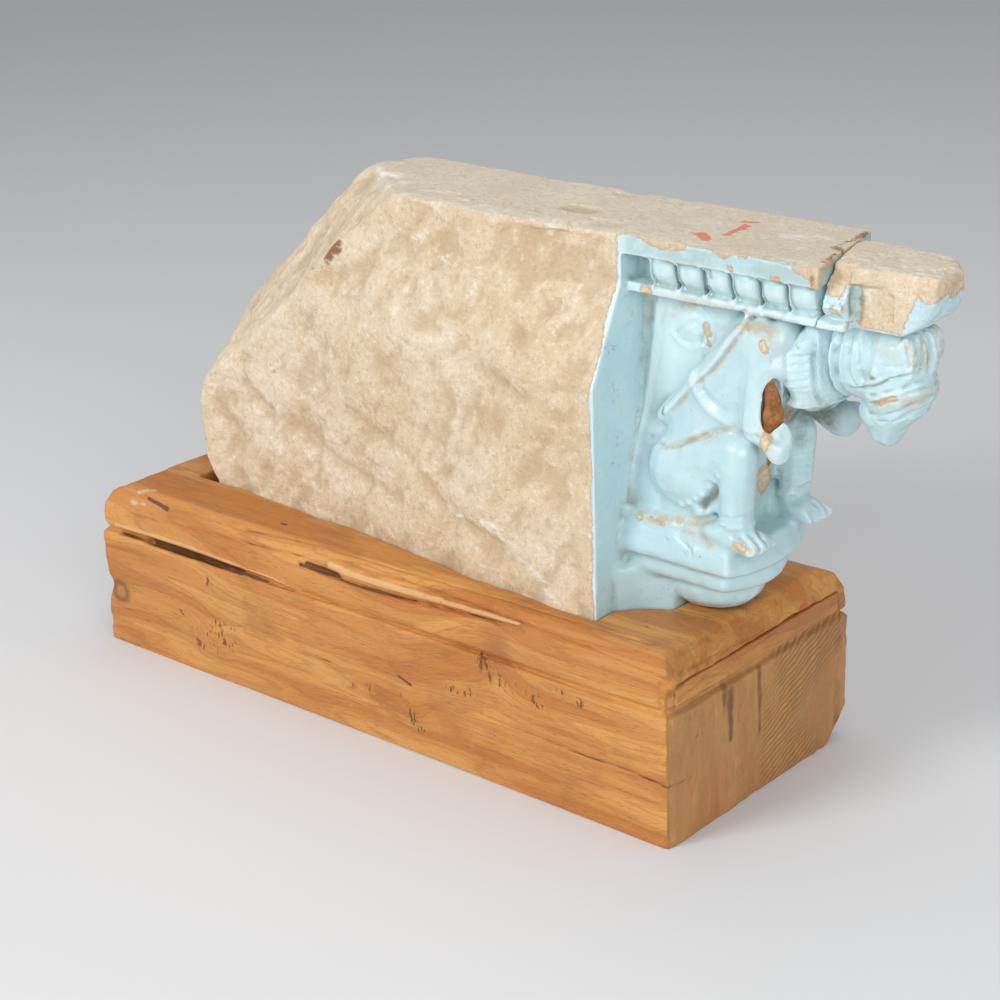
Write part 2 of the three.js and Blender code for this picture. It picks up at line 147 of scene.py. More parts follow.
def from_line(points, line):
    """Each point's distance from a broken line, or from one spot."""
    line = [np.array(point, float) for point in line]
    best = np.full(len(points), 1e9)
    for start, end in zip(line, line[1:] or line):
        run = end - start
        along = np.clip((points - start) @ run / max(run @ run, 1e-9), 0, 1)
        best = np.minimum(best, np.linalg.norm(points - start - along[:, None] * run, axis=1))
    return best


def ramp(values, low, high):
    """0 below low, 1 above high, eased between."""
    part = np.clip((values - low) / (high - low), 0, 1)
    return part * part * (3 - 2 * part)


def bump_of(distance, width, power=2):
    return np.exp(-(distance / width) ** power)


def stroke(points, line, start=1.0, end=None):
    """How near each point is to a line, from 1 on it to 0, where its width goes from start to end."""
    end = start if end is None else end
    line = [np.array(point, float) for point in line]
    best = np.zeros(len(points))
    for step, (first, last) in enumerate(zip(line, line[1:] or line)):
        run = last - first
        along = np.clip((points - first) @ run / max(run @ run, 1e-9), 0, 1)
        distance = np.linalg.norm(points - first - along[:, None] * run, axis=1)
        width = start + (end - start) * (step + along) / max(len(line) - 1, 1)
        best = np.maximum(best, np.exp(-(distance / width) ** 2))
    return best


def smeared(points, rows):
    """The strongest of some strokes at each point. A row is its strength, its line and its widths."""
    return np.maximum.reduce([strength * stroke(points, line, *widths) for strength, line, *widths in rows])


def inside_of(points, marks):
    """How far each point is inside the nearest mark, where a mark is a line and its half width."""
    return np.maximum.reduce([reach - from_line(points, line) for line, reach in marks])


def patch(points, marks, edge=2.0):
    """A mask that is a half at each mark's reach from its line, and 1 well inside."""
    return np.clip(0.5 + inside_of(points, marks) / (2 * edge), 0, 1)


def kept_in(points):
    """The points held inside the box of the whole model."""
    return np.clip(points, 1000 * np.array(cad_low), 1000 * np.array(cad_high))


crevice = [
    (-191, -77, 70.7), (-166, -76, 71.2), (-151, -76, 71.3), (-131, -76, 71.4), (-110, -76, 71.2),
    (-90, -76, 71), (-70, -76, 70.8), (-50, -76, 70.7)]
lip = [
    (-194, -78, 76), (-169, -78, 76.6), (-144, -78, 77), (-117, -78, 76.4), (-87, -78, 75.7),
    (-64, -78, 75), (-43, -76, 72.5)]
splinter = [
    (-20, -76, 93), (-1, -76, 92), (24, -76, 92.2), (58, -76, 93.4), (86, -76, 94), (112, -75, 94.5)]
torn = [
    (-43, -77, 87.6), (-30, -77, 88), (-18, -77, 87.3), (-9, -77, 86.9), (7, -77, 86.9), (32, -77, 87.7),
    (60, -76.5, 90), (100, -76, 92)]
low_crack = [
    (86, -78.5, 37), (115, -78.5, 36), (155, -78.5, 35.5), (183, -78.5, 36), (206, -78.5, 34),
    (206, -58, 32)]
grooves = [
    ([(-177, -78, 84.4), (-147, -78, 86.8), (-91, -77, 89.8), (-68, -76, 91), (-38, -76, 92.6)], 0.9, 0.6),
    ([
        (-200, -73, 96), (-93, -74, 96), (-71, -73, 97.7), (-35, -70.5, 100), (79, -67, 100),
        (185, -65, 100)], 0.9, 0.6),
    ([
        (-22, -74, 96.5), (4, -73.6, 97), (39, -73, 97.5), (85, -74, 96.3), (140, -75, 94),
        (203, -76, 90)], 1.0, 0.8),
    ([(-50, -76, 70.8), (38, -76, 71.2), (80, -76, 71.3), (157, -77, 71.5), (203, -77, 72)], 0.9, 0.7),
    ([(60, -77, 85), (110, -77, 84), (200, -77, 82)], 0.9, 0.6),
    ([(206, -70, 80), (206, 0, 77.5), (206, 64, 75)], 1.0, 0.9),
    ([(204, -66, 90), (204, 0, 87.5), (204, 64, 84)], 1.0, 0.8),
    ([(200, -60, 97), (200, 0, 96), (199, 64, 95)], 1.0, 0.6)]
cracks = [
    (crevice[:3], 0.8), (crevice[1:5], 1.8), (crevice[4:7], 1.2), (crevice[6:], 0.7), (torn[:6], 1.0),
    (torn[5:], 0.4), ([(-38, -77, 89), (-15, -77.4, 88.4)], 2.2), (low_crack[:2], 0.2),
    (low_crack[1:], 0.5), ([(-33, -78, 37), (-22, -78, 36)], 0.8), ([(29, -78, 43), (38, -78, 40)], 1.0),
    ([(-4, -78, 64), (-4, -78, 60)], 0.6), ([(-143, -78, 35), (-140, -78, 32)], 0.9),
    ([(95, -78, 30), (95.5, -78, 28)], 0.8), ([(66, -78, 48), (80, -78, 47)], 0.5),
    ([(-152, -78, 7), (-146, -78, 9), (-145, -78, 3)], 0.4), ([(-71, -61, 100), (-68, -61, 100)], 1.0),
    ([(-168, -74, 97), (-150, -75, 94)], 1.3), ([(171, -50, 100), (176, -52, 100)], 1.4),
    ([(195, -32, 100), (199, -33, 98)], 0.8), ([(192, 36, 100)], 1.0)]
faint = [
    [(-90, -78, 34), (-59, -78, 33.5), (-27, -78, 35), (4, -78, 41)], [(-150, -78, 52), (-70, -78, 50)],
    [(-42, -78, 65), (40, -78, 61), (90, -78, 61)], [(60, -78, 55), (180, -78, 57)],
    [(-190, -78, 60), (-150, -78, 60)], [(20, -78, 20), (90, -78, 18)], [(110, -78, 42), (200, -78, 44)]]
pits = [
    ([(-124, -78, 22), (-106, -78, 27)], 9), ([(-112, -78, 34), (-100, -78, 33)], 3),
    ([(86, -78, 70), (95, -78, 62), (126, -78, 57)], 4.5), ([(28, -78, 30), (46, -78, 13)], 3.5),
    ([(66, -78, 47), (82, -78, 48)], 3), ([(-14, -78, 24), (10, -78, 30)], 2.5), ([(-118, -78, 58)], 4),
    ([(140, -78, 66), (152, -78, 64)], 3), ([(206, -60, 66), (206, -52, 50)], 3)]
white_spots = [
    ([(-168, -68, 100), (-177, -73, 98)], 2.5), ([(-170, -77, 93), (-180, -77, 92)], 2.8),
    ([(-171, -52, 100)], 1.2), ([(-121, -78, 82)], 1.0), ([(-186, -70, 99)], 1.5)]
red_spots = [
    ([(204, 40, 88), (205, 36, 86)], 2.2), ([(200, -13, 97)], 1.6), ([(102, -77, 92)], 1.6),
    ([(60, -77, 93)], 1.0)]

beam = workpiece("wooden_beam", "base_block")
work(beam, "REMESH", mode="VOXEL", voxel_size=0.00115)
work(beam, "SMOOTH", factor=0.5, iterations=6)
points, normals = places(beam), facings(beam)
nearby = points[:, 1] < -55
rise = (
    0.5 * rough(points * [0.08, 1, 1], 6) + 0.4 * rough(points * [0.2, 1, 1], 24, 3)
    + 0.12 * rough(points * [0.15, 1, 1], 2.5, 7))
ragged = 1 + 0.45 * rough(points, 6, 1)
rise -= (
    2.6 * ragged * stroke(points, crevice, 1.2, 0.9)
    + 3.6 * ragged * stroke(points, crevice[1:6], 2.3, 1.2))
rise += 0.9 * stroke(points, lip, 2.2, 1.0)
rise += 1.7 * ragged * stroke(points, splinter, 2.9, 1.2)
rise -= (
    2.2 * ragged * stroke(points, torn, 1.6, 0.8)
    + 2.4 * ragged * stroke(points, [(-38, -77, 89), (-15, -77.4, 88.4)], 2.8))
rise -= 0.8 * stroke(points, low_crack, 1.0)
for line, width, depth in grooves:
    rise -= 1.5 * depth * (1 + 0.6 * rough(points, 18, 9)) * stroke(points, line, width)
for line in faint:
    rise -= 0.3 * stroke(points, line, 1.0)
pitted = np.maximum.reduce([stroke(points, line, width) for line, width in pits])
rise -= 0.5 * pitted * np.clip(rough(points * [1, 1, 0.4], 2.2, 33), 0, 1)
planed = points.copy()
points += normals * (rise * np.where(nearby | (points[:, 0] > 190), 1, 0.6))[:, None]
corner = np.hypot(206 - points[:, 0], points[:, 1] + 78.5)
notch = (
    bump_of(corner, 7) * (ramp(points[:, 2], 62, 76) * ramp(points[:, 2], 100, 88) + 0.35)
    * (1 + 0.5 * rough(points, 5, 5)))
points += 2.6 * notch[:, None] * np.array([-0.7, 0.7, 0])
knot = bump_of(from_line(points, [(-206, -80, 35)]), 8)
points += 3.6 * knot[:, None] * np.array([0.9, 0.45, 0])
upper_bite = bump_of(from_line(points, [(-206, -80, 73)]), 5)
points += 2.4 * upper_bite[:, None] * np.array([0.9, 0.3, 0])
far_edge = np.clip(points[:, 1] - points[:, 2] - 60, 0, 40) * ramp(points[:, 0], 60, 206)
points += 0.5 * far_edge[:, None] * np.array([0, -1, 1])
reshape(beam, kept_in(points))
x, y, z = points.T
# The splits are painted dark brown as the shade inside them, and the planed grooves and faint lines get a
# thin line of painted shade
record_on(beam, "crack_shade", np.maximum(inside_of(planed, cracks), -6))
record_on(beam, "line", np.maximum(
    inside_of(planed, [(line, 0.5) for line, _, _ in grooves] + [(line, 0.2) for line in faint]), -6))
record_on(beam, "pitted", pitted)
record_on(beam, "split", smeared(planed, [(1, splinter, 2.8, 1.2), (0.85, lip, 1.8, 1.0)]))
record_on(beam, "white", patch(points, white_spots, 1.5))
record_on(beam, "red", patch(points, red_spots, 1.2))
record_on(beam, "end", ramp(np.abs(normals[:, 0]), 0.5, 0.8) * ramp(z, 84, 80))
ring = from_line(points * [0.9, 1, 1], [(-175.5, -78, 33)])
record_on(beam, "knot", 0.9 * bump_of(np.abs(ring - 5.5), 2.4) + 0.3 * bump_of(ring, 2))
record_on(beam, "smear", smeared(points, [
    (0.9, [(206, -27, 66), (206, -27, 40)], 3.5, 2.5), (0.8, [(206, -2, 69), (206, -1, 30)], 3, 1.5),
    (0.8, [(206, -32, 72), (206, -32, 62)], 3.5), (0.6, [(206, 10, 72), (206, 60, 72)], 3),
    (0.5, [(206, 70, 78), (206, 70, 10)], 6)]))
eddies = [
    (9, [(-90, -78, 62), (20, -78, 66)], 38), (-8, [(90, -78, 78)], 26), (8, [(-116, -78, 25)], 13),
    (6, [(40, -78, 25)], 10), (-6, [(100, -78, 66)], 12)]
record_on(beam, "flow", sum(strength * stroke(points, line, width) for strength, line, width in eddies))
saw_marks = np.maximum(ramp(y, 8, 20) * ramp(z - 0.6 * y, 5, 20), ramp(y + z, 70, 45) * ramp(y, -5, 10))
record_on(beam, "sawn", np.clip(saw_marks, 0, 1) * (normals[:, 0] > 0.7) * ramp(z, 82, 78))


def thin_out(piece, plain, ratio, favour):
    """Leaves that share of the faces, and takes the others from the plain places first."""
    group = piece.vertex_groups.new(name="plain")
    group.add([int(index) for index in np.flatnonzero(plain)], 1.0, "REPLACE")
    work(
        piece, "DECIMATE", ratio=ratio, vertex_group="plain", vertex_group_factor=favour,
        use_collapse_triangulate=True)
    piece.vertex_groups.clear()


# The beam's hidden sides carry fewer faces than the worn near side and the head end
thin_out(beam, (points[:, 1] > -58) & (points[:, 0] < 198), 0.42, 10.0)


def put(kind, inputs=None, **settings):
    """A node in the tree at hand with its settings, and its inputs set or linked."""
    made = tree.nodes.new("ShaderNode" + kind)
    for setting, value in settings.items():
        setattr(made, setting, value)
    for key, value in (inputs or {}).items():
        if isinstance(value, bpy.types.NodeSocket):
            tree.links.new(value, made.inputs[key])
        else:
            made.inputs[key].default_value = value
    return made


def sum_of(operation, *values):
    return put("Math", dict(enumerate(values)), operation=operation).outputs[0]


def times(first, second):
    return sum_of("MULTIPLY", first, second)


def plus(first, second):
    return sum_of("ADD", first, second)


def mixed(share, first, second):
    return put("Mix", {0: share, 6: first, 7: second}, data_type="RGBA", blend_type="MIX").outputs[2]


def eased(value, low, high, start=0.0, end=1.0):
    return put(
        "MapRange", {0: value, 1: low, 2: high, 3: start, 4: end},
        interpolation_type="SMOOTHSTEP").outputs[0]


def measured(name):
    return put("Attribute", attribute_name=name).outputs["Fac"]


def grainy(vector, scale, detail=4.0, roughness=0.6, distortion=0.0):
    return put("TexNoise", {
        "Vector": vector, "Scale": scale, "Detail": detail, "Roughness": roughness,
        "Distortion": distortion}).outputs["Fac"]


def around_zero(noise, size):
    return times(sum_of("SUBTRACT", noise, 0.5), size)


def tinted(colour, value, low, high, share, shade):
    """The colour with a share of the shade where the value rises from low to high."""
    return mixed(eased(value, low, high, 0.0, share), colour, shade)


def tone(red, green, blue):
    """A surface colour from its values as they show on a screen, 0 to 255."""
    return tuple((value / 255) ** 2.2 for value in (red, green, blue)) + (1,)


def new_group(name, inputs, outputs):
    """A node group, which becomes the tree at hand, with the sockets inside it."""
    global tree
    tree = bpy.data.node_groups.new(name, "ShaderNodeTree")
    for socket, kind in inputs:
        tree.interface.new_socket(socket, in_out="INPUT", socket_type="NodeSocket" + kind)
    for socket, kind in outputs:
        tree.interface.new_socket(socket, in_out="OUTPUT", socket_type="NodeSocket" + kind)
    return tree, tree.nodes.new("NodeGroupInput").outputs, tree.nodes.new("NodeGroupOutput").inputs


def placed(group, inputs):
    made = tree.nodes.new("ShaderNodeGroup")
    made.node_tree = group
    for key, value in inputs.items():
        if isinstance(value, bpy.types.NodeSocket):
            tree.links.new(value, made.inputs[key])
        else:
            made.inputs[key].default_value = value
    return made.outputs


# Old teak: growth lines, warm and dark bands, short dark pores along the grain, and a height
teak, given, result = new_group(
    "teak_grain", [("Along grain", "Vector"), ("Where", "Vector"), ("Worn", "Float")],
    [("Color", "Color"), ("Height", "Float")])
run = given["Along grain"]
bands = grainy(run, 7.0, 2.0, 0.5, 0.4)
rings = sum_of("SINE", times(bands, 58.0))
fine = grainy(run, 60.0, 5.0, 0.7, 0.2)
pores = grainy(run, 210.0, 3.0, 0.65)
stain = grainy(given["Where"], 18.0, 6.0, 0.62)
wood_colour = mixed(eased(bands, 0.36, 0.64), tone(214, 151, 81), tone(188, 119, 56))
wood_colour = tinted(wood_colour, rings, 0.4, 1.0, 0.3, tone(160, 96, 46))
wood_colour = tinted(wood_colour, fine, 0.55, 0.72, 0.45, tone(150, 90, 44))
wood_colour = tinted(wood_colour, fine, 0.42, 0.27, 0.35, tone(236, 188, 124))
wood_colour = tinted(wood_colour, pores, 0.61, 0.69, 0.6, tone(104, 58, 28))
wood_colour = tinted(wood_colour, stain, 0.52, 0.7, 0.5, tone(158, 98, 50))
wood_colour = mixed(given["Worn"], wood_colour, tone(176, 132, 84))
tree.links.new(wood_colour, result["Color"])
wood_height = sum_of("SUBTRACT", times(fine, 0.7), times(pores, 0.55))
tree.links.new(wood_height, result["Height"])


def finish_of(name, piece):
    """A new material on the piece, whose tree is at hand, with its shader and the object's coordinates."""
    global tree
    material = bpy.data.materials.new(name)
    material.use_nodes = True
    tree = material.node_tree
    piece.data.materials.append(material)
    return tree.nodes["Principled BSDF"], put("TexCoord").outputs["Object"]


def roughen(shader, height, strength, distance):
    bump = put("Bump", {"Height": height, "Strength": strength, "Distance": distance})
    tree.links.new(bump.outputs[0], shader.inputs["Normal"])


shader, where = finish_of("old_teak_beam", beam)
bent = put("CombineXYZ", {2: times(measured("flow"), 0.001)}).outputs[0]
bent = put("VectorMath", {0: where, 1: bent}, operation="ADD").outputs[0]
lengthwise = put("Mapping", {"Vector": bent, "Scale": (0.9, 9.0, 9.0)}).outputs[0]
endwise = put(
    "Mapping", {"Vector": where, "Rotation": (math.radians(38), 0, 0), "Scale": (4.0, 9.0, 2.2)}).outputs[0]
end = measured("end")
grain_place = put("Mix", {0: end, 4: lengthwise, 5: endwise}, data_type="VECTOR").outputs[1]
dust = times(end, eased(grainy(where, 30.0, 5.0, 0.65), 0.35, 0.6, 0.1, 0.6))
grain = placed(teak, {"Along grain": grain_place, "Where": where, "Worn": dust})
colour = mixed(times(end, 0.4), grain["Color"], tone(186, 134, 82))
ragged_edge = around_zero(grainy(lengthwise, 60.0, 4.0, 0.7), 0.9)
split = eased(plus(measured("split"), ragged_edge), 0.45, 0.75, 0.0, 0.7)
colour = mixed(split, colour, tone(226, 182, 126))
colour = mixed(times(measured("knot"), 0.8), colour, tone(110, 70, 44))
smear = eased(plus(measured("smear"), around_zero(grainy(where, 90.0, 5.0, 0.7), 0.9)), 0.3, 0.9, 0.0, 0.75)
colour = mixed(smear, colour, tone(92, 60, 40))
broken = around_zero(grainy(lengthwise, 45.0, 5.0, 0.7), 2.6)
# Painted shade: a thin dark brown line in the planed grooves and faint lines
line = eased(plus(measured("line"), broken), -0.2, 0.6, 0.0, 0.7)
colour = mixed(line, colour, tone(112, 68, 38))
upright = put("Mapping", {"Vector": where, "Scale": (1.0, 1.0, 0.32)}).outputs[0]
dashes = times(eased(grainy(upright, 430.0, 3.0, 0.6), 0.55, 0.63), measured("pitted"))
colour = tinted(colour, dashes, 0.2, 0.6, 0.8, tone(96, 58, 34))
# Painted shade: the splits darkened to a deep brown
crack_shade = eased(plus(measured("crack_shade"), broken), -0.2, 0.45)
colour = mixed(times(crack_shade, 0.9), colour, tone(92, 58, 35))
spot_edge = around_zero(grainy(where, 260.0, 4.0, 0.7), 1.2)
colour = tinted(colour, plus(measured("white"), spot_edge), 0.6, 1.3, 0.8, tone(226, 216, 200))
colour = tinted(colour, plus(measured("red"), spot_edge), 0.45, 0.75, 0.75, tone(196, 80, 44))
tree.links.new(eased(grainy(where, 22.0, 4.0, 0.6), 0.3, 0.7, 0.38, 0.6), shader.inputs["Roughness"])
turned = put("Mapping", {"Vector": where, "Rotation": (math.radians(66), 0, 0)}).outputs[0]
saw = put(
    "TexWave", {"Vector": turned, "Scale": 105.0, "Distortion": 7.0, "Detail": 3.0, "Detail Scale": 0.5},
    wave_type="BANDS", bands_direction="Y").outputs["Fac"]
saw = times(eased(saw, 0.5, 0.95), measured("sawn"))
height = plus(grain["Height"], times(saw, -0.9))
height = sum_of("SUBTRACT", height, dashes)
colour = mixed(times(saw, 0.4), colour, tone(130, 88, 50))
tree.links.new(colour, shader.inputs["Base Color"])
roughen(shader, height, 0.7, 0.0013)
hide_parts("base_block")
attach(beam, "root")

# End strips
# Two thin teak strips let into rabbets across the ends of the beam. Their grain runs across the
# base, so they shrank differently and their joints show.
for name, node in (("head_strip", "head_end_strip"), ("tail_strip", "tail_end_strip")):
    strip = workpiece(name, node)
    work(strip, "REMESH", mode="VOXEL", voxel_size=0.0009)
    work(strip, "SMOOTH", factor=0.5, iterations=5)
    points, normals = places(strip), facings(strip)
    rise = 0.25 * rough(points * [1, 0.1, 1], 3, 4) + 0.4 * rough(points * [1, 0.4, 1], 16, 6)
    reshape(strip, kept_in(points + normals * rise[:, None]))
    shader, where = finish_of(name + "_teak", strip)
    crosswise = put("Mapping", {"Vector": where, "Scale": (9.0, 0.9, 9.0)}).outputs[0]
    worn = eased(grainy(where, 35.0, 4.0, 0.6), 0.45, 0.7, 0.0, 0.55)
    grain = placed(teak, {"Along grain": crosswise, "Where": where, "Worn": worn})
    shadowed = eased(grainy(crosswise, 30.0, 4.0, 0.6), 0.55, 0.7, 0.1, 0.7)
    tree.links.new(mixed(shadowed, grain["Color"], tone(112, 72, 42)), shader.inputs["Base Color"])
    shader.inputs["Roughness"].default_value = 0.5
    roughen(shader, grain["Height"], 0.6, 0.001)
    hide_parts(node)
    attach(strip, "root")


# The corbel's stone
# One block of fine beige limestone. Its tail was hewn with a point and once stood in a wall. In
# front it is carved with a lion between a slab and a bracket, and thickly painted in light blue.
def edges_of(piece):
    flat = np.empty(2 * len(piece.data.edges), np.int32)
    piece.data.edges.foreach_get("vertices", flat)
    return flat.reshape(-1, 2)


def soften(points, edges, weight, rounds, shrink=True):
    """Rubs the surface smooth where weight is above 0. Without shrink the thin forms keep their size."""
    count = np.bincount(edges.ravel(), minlength=len(points)).astype(float)[:, None]
    points = points.copy()
    for turn in range(rounds):
        total = np.empty_like(points)
        for axis in range(3):
            total[:, axis] = (
                np.bincount(edges[:, 0], points[edges[:, 1], axis], len(points))
                + np.bincount(edges[:, 1], points[edges[:, 0], axis], len(points)))
        pull = 0.6 if shrink or turn % 2 == 0 else -0.62
        points += pull * weight[:, None] * (total / count - points)
    return points


def folded(points, middle):
    """The points with the far side brought over onto the near side."""
    near = points.copy()
    near[:, 1] = middle - np.abs(near[:, 1] - middle)
    return near


def shifted(points, centre, reach, move):
    """The points round a centre moved together, less and less towards the reach."""
    near = np.linalg.norm((points - centre) / reach, axis=1)
    return points + (1 - ramp(near, 0.35, 1))[:, None] * np.array(move)


def hewn_faces(points, spacing, seed):
    """The height of flat facets of random tilt, which meet in blunt ridges."""
    place = points / spacing + 31.7 * seed
    cell = np.floor(place)
    total, weights = np.zeros(len(points)), np.full(len(points), 1e-12)
    for step in np.ndindex(3, 3, 3):
        corner = cell + step - 1
        mixed = [
            np.sin(corner @ np.array(key)) * 43758.5453
            for key in ((127.1, 311.7, 74.7), (269.5, 183.3, 246.1), (113.5, 271.9, 124.6))]
        chance = np.column_stack([value - np.floor(value) for value in mixed])
        offset = place - corner - chance
        tilt = np.sin(chance[:, [1, 2, 0]] * 40) + np.cos(chance * 55)
        weight = np.exp(-7 * np.einsum("ij,ij->i", offset, offset))
        total += weight * np.einsum("ij,ij->i", offset, tilt)
        weights += weight
    return total / weights


def carved_by(points, strokes):
    """How far each point sinks, below 0, or rises under strokes given as line, width and depth."""
    rise = np.zeros(len(points))
    for line, width, depth in strokes:
        rise -= depth * stroke(points, line, width)
    return rise


def hollows(points, normals, edges, rounds):
    """How far each point lies under its rubbed surroundings: above 0 in hollows, below 0 on ridges."""
    inside = soften(points, edges, np.ones(len(points)), rounds)
    return np.einsum("ij,ij->i", inside - points, normals)


def lump(centre, radii, turn=0):
    """An egg of stone to be merged into the figure, its long way turned in the side view."""
    bpy.ops.object.select_all(action="DESELECT")
    bpy.ops.mesh.primitive_uv_sphere_add(segments=24, ring_count=16, radius=0.001)
    egg = bpy.context.object
    bpy.ops.object.mode_set(mode="EDIT")
    bpy.ops.transform.resize(value=radii)
    bpy.ops.transform.rotate(value=math.radians(turn), orient_axis="Y", center_override=(0, 0, 0))
    bpy.ops.transform.translate(value=[0.001 * value for value in centre])
    bpy.ops.object.mode_set(mode="OBJECT")
    return egg


def join_on(piece, eggs):
    choose(piece)
    for egg in eggs:
        egg.select_set(True)
    bpy.ops.object.join()


stone = workpiece("corbel_stone", "corbel_block")
eggs = [
    lump((229.5, -17, 250), (8, 13, 11)), lump((231, -20, 238), (5, 10, 8)),
    lump((204, -33.5, 152.5), (11, 6, 4.5)), lump((224, -8, 248), (7, 9, 10))]
join_on(stone, eggs)
work(stone, "REMESH", mode="VOXEL", voxel_size=0.001)
points, edges = places(stone), edges_of(stone)
x, y, z = points.T
carved = ramp(x, 144, 148)
figure = carved * ramp(z, 112, 118) * ramp(z, 263, 260)
seat = figure * ramp(z, 160, 154)
slab = carved * ramp(z, 262, 265)
tail = 1 - carved

# Dentils rolled under at their foot and rounded at their sides, as on both sides of the slab
first_dentil, dentil_pitch, dentil_half, dentil_foot, dentil_height = 162, 15.6, 6, 266.5, 14
phase = (x - first_dentil) % dentil_pitch
across = np.clip(np.abs(phase - dentil_half) / dentil_half, 0, 1)
up_dentil = np.clip((z - dentil_foot) / dentil_height, 0, 1)
inward = 0.6 + 2.6 * across ** 3.5 + 3.4 * (1 - up_dentil) ** 2.5 + ramp(up_dentil, 0.8, 1)
in_row = (phase < 12.3) * ramp(x, 160, 161) * (z > 266) * (z < 280.7) * ramp(np.abs(y), 27, 32) * slab
points[:, 1] -= np.sign(y) * inward * in_row
foot = carved * ramp(z, 122, 116) * ramp(x, 150, 156)
hidden_part = tail * ramp(x, 146, 138)
for weight, rounds, shrink in (
        (0.35 * carved, 6, True), (hidden_part, 60, False), (hidden_part, 10, True), (figure, 34, False),
        (0.7 * figure + 0.3 * seat, 9, True), (seat, 16, True), (foot, 30, False), (foot, 10, True)):
    points = soften(points, edges, weight, rounds, shrink)
lion_middle = -5
nearer = folded(points, lion_middle)
strand = [
    (215, -35, 257), (201, -34, 238), (190, -31, 225), (178, -30, 214), (167, -29, 204), (163, -27, 199)]
low_relief = np.maximum(
    stroke(nearer, strand, 8), stroke(nearer, [(186, -31, 226), (195, -33, 214), (207, -32, 208)], 7))
points = soften(points, edges, figure * np.clip(1.6 * low_relief, 0, 1), 44)
under_thigh = (
    figure * np.clip(1.6 * stroke(nearer, [(176, -31, 156), (190, -33, 160), (203, -31, 168)], 6), 0, 1))
points = soften(points, edges, under_thigh, 26)
points = shifted(points, (237, -31, 203), (12, 12, 11), (-1.5, 0, -5.5))
points = shifted(points, (237, -32, 209), (9, 9, 8), (-1.5, 1.0, -2))
points = shifted(points, (222, 16, 155), (20, 14, 12), (-3, -2, 2))
reshape(stone, points)
normals = facings(stone)

# Hewn faces of the tail: flat flakes, lumps and slanting furrows of the point
slant = np.column_stack([
    0.77 * points[:, 0] - 0.64 * points[:, 2], points[:, 1], 0.64 * points[:, 0] + 0.77 * points[:, 2]])
hewn = tail * ramp(points[:, 0], 146, 130)
top = ramp(points[:, 2], 286, 289.5)
loose = (
    slant * [1, 1, 0.6]
    + 5 * np.column_stack([rough(points, 20, 30), rough(points, 20, 31), rough(points, 20, 32)]))
rise = 1.9 * hewn_faces(loose, 36, 1) + hewn_faces(slant * [1, 1, 0.6], 15, 2)
rise += 0.7 * rough(points, 26, 1) + 0.35 * rough(points, 7, 3)
rise += 0.22 * rough(points, 3, 4) + 0.15 * rough(points, 1.8, 14)
rise += 0.45 * rough(slant * [1, 1, 0.25], 6, 5) + 0.3 * rough(slant * [1, 1, 0.25], 3, 6)
furrows = [
    ([(-116, -37, 156), (-76, -38, 147), (-35, -42, 133), (6, -47, 127)], 5, 1.6),
    ([(26, -46, 230), (65, -52, 217), (100, -57, 205), (125, -57, 199)], 5, 1.1),
    ([(-32, -43, 166), (11, -47, 155), (41, -51, 132), (81, -56, 121)], 5, 1.5),
    ([(-143, -36, 144), (-107, -37, 116)], 5, 1.6), ([(-119, -38, 165), (-91, -38, 138)], 5, 1.4),
    ([(-60, -39, 240), (-25, -39, 245), (0, -39, 262)], 6, 1.5),
    ([(-121, -38, 182), (-101, -38, 200)], 5, 1.2)]
for line, width, depth in furrows:
    rise -= depth * (1 + 0.5 * rough(points, 10, 40)) * stroke(points, line, width)
rise += 1.2 * stroke(points, [(27, -38, 266), (60, -39, 268)], 14)
rise = rise * (1 - 0.78 * top) - 1.3 * top * ramp(rough(points, 19, 15), 0.2, 0.8)
points += normals * (rise * hewn)[:, None]
points += normals * (0.22 * rough(points, 8, 8) * figure + 0.15 * rough(points, 5, 9) * carved)[:, None]
worn_edge = bump_of(from_line(points, [(10, -38, 291), (145, -36, 291), (250, -34, 291)]), 5)
points[:, 2] -= worn_edge * (0.9 + 0.9 * rough(points, 7, 16)) * (points[:, 2] > 284)

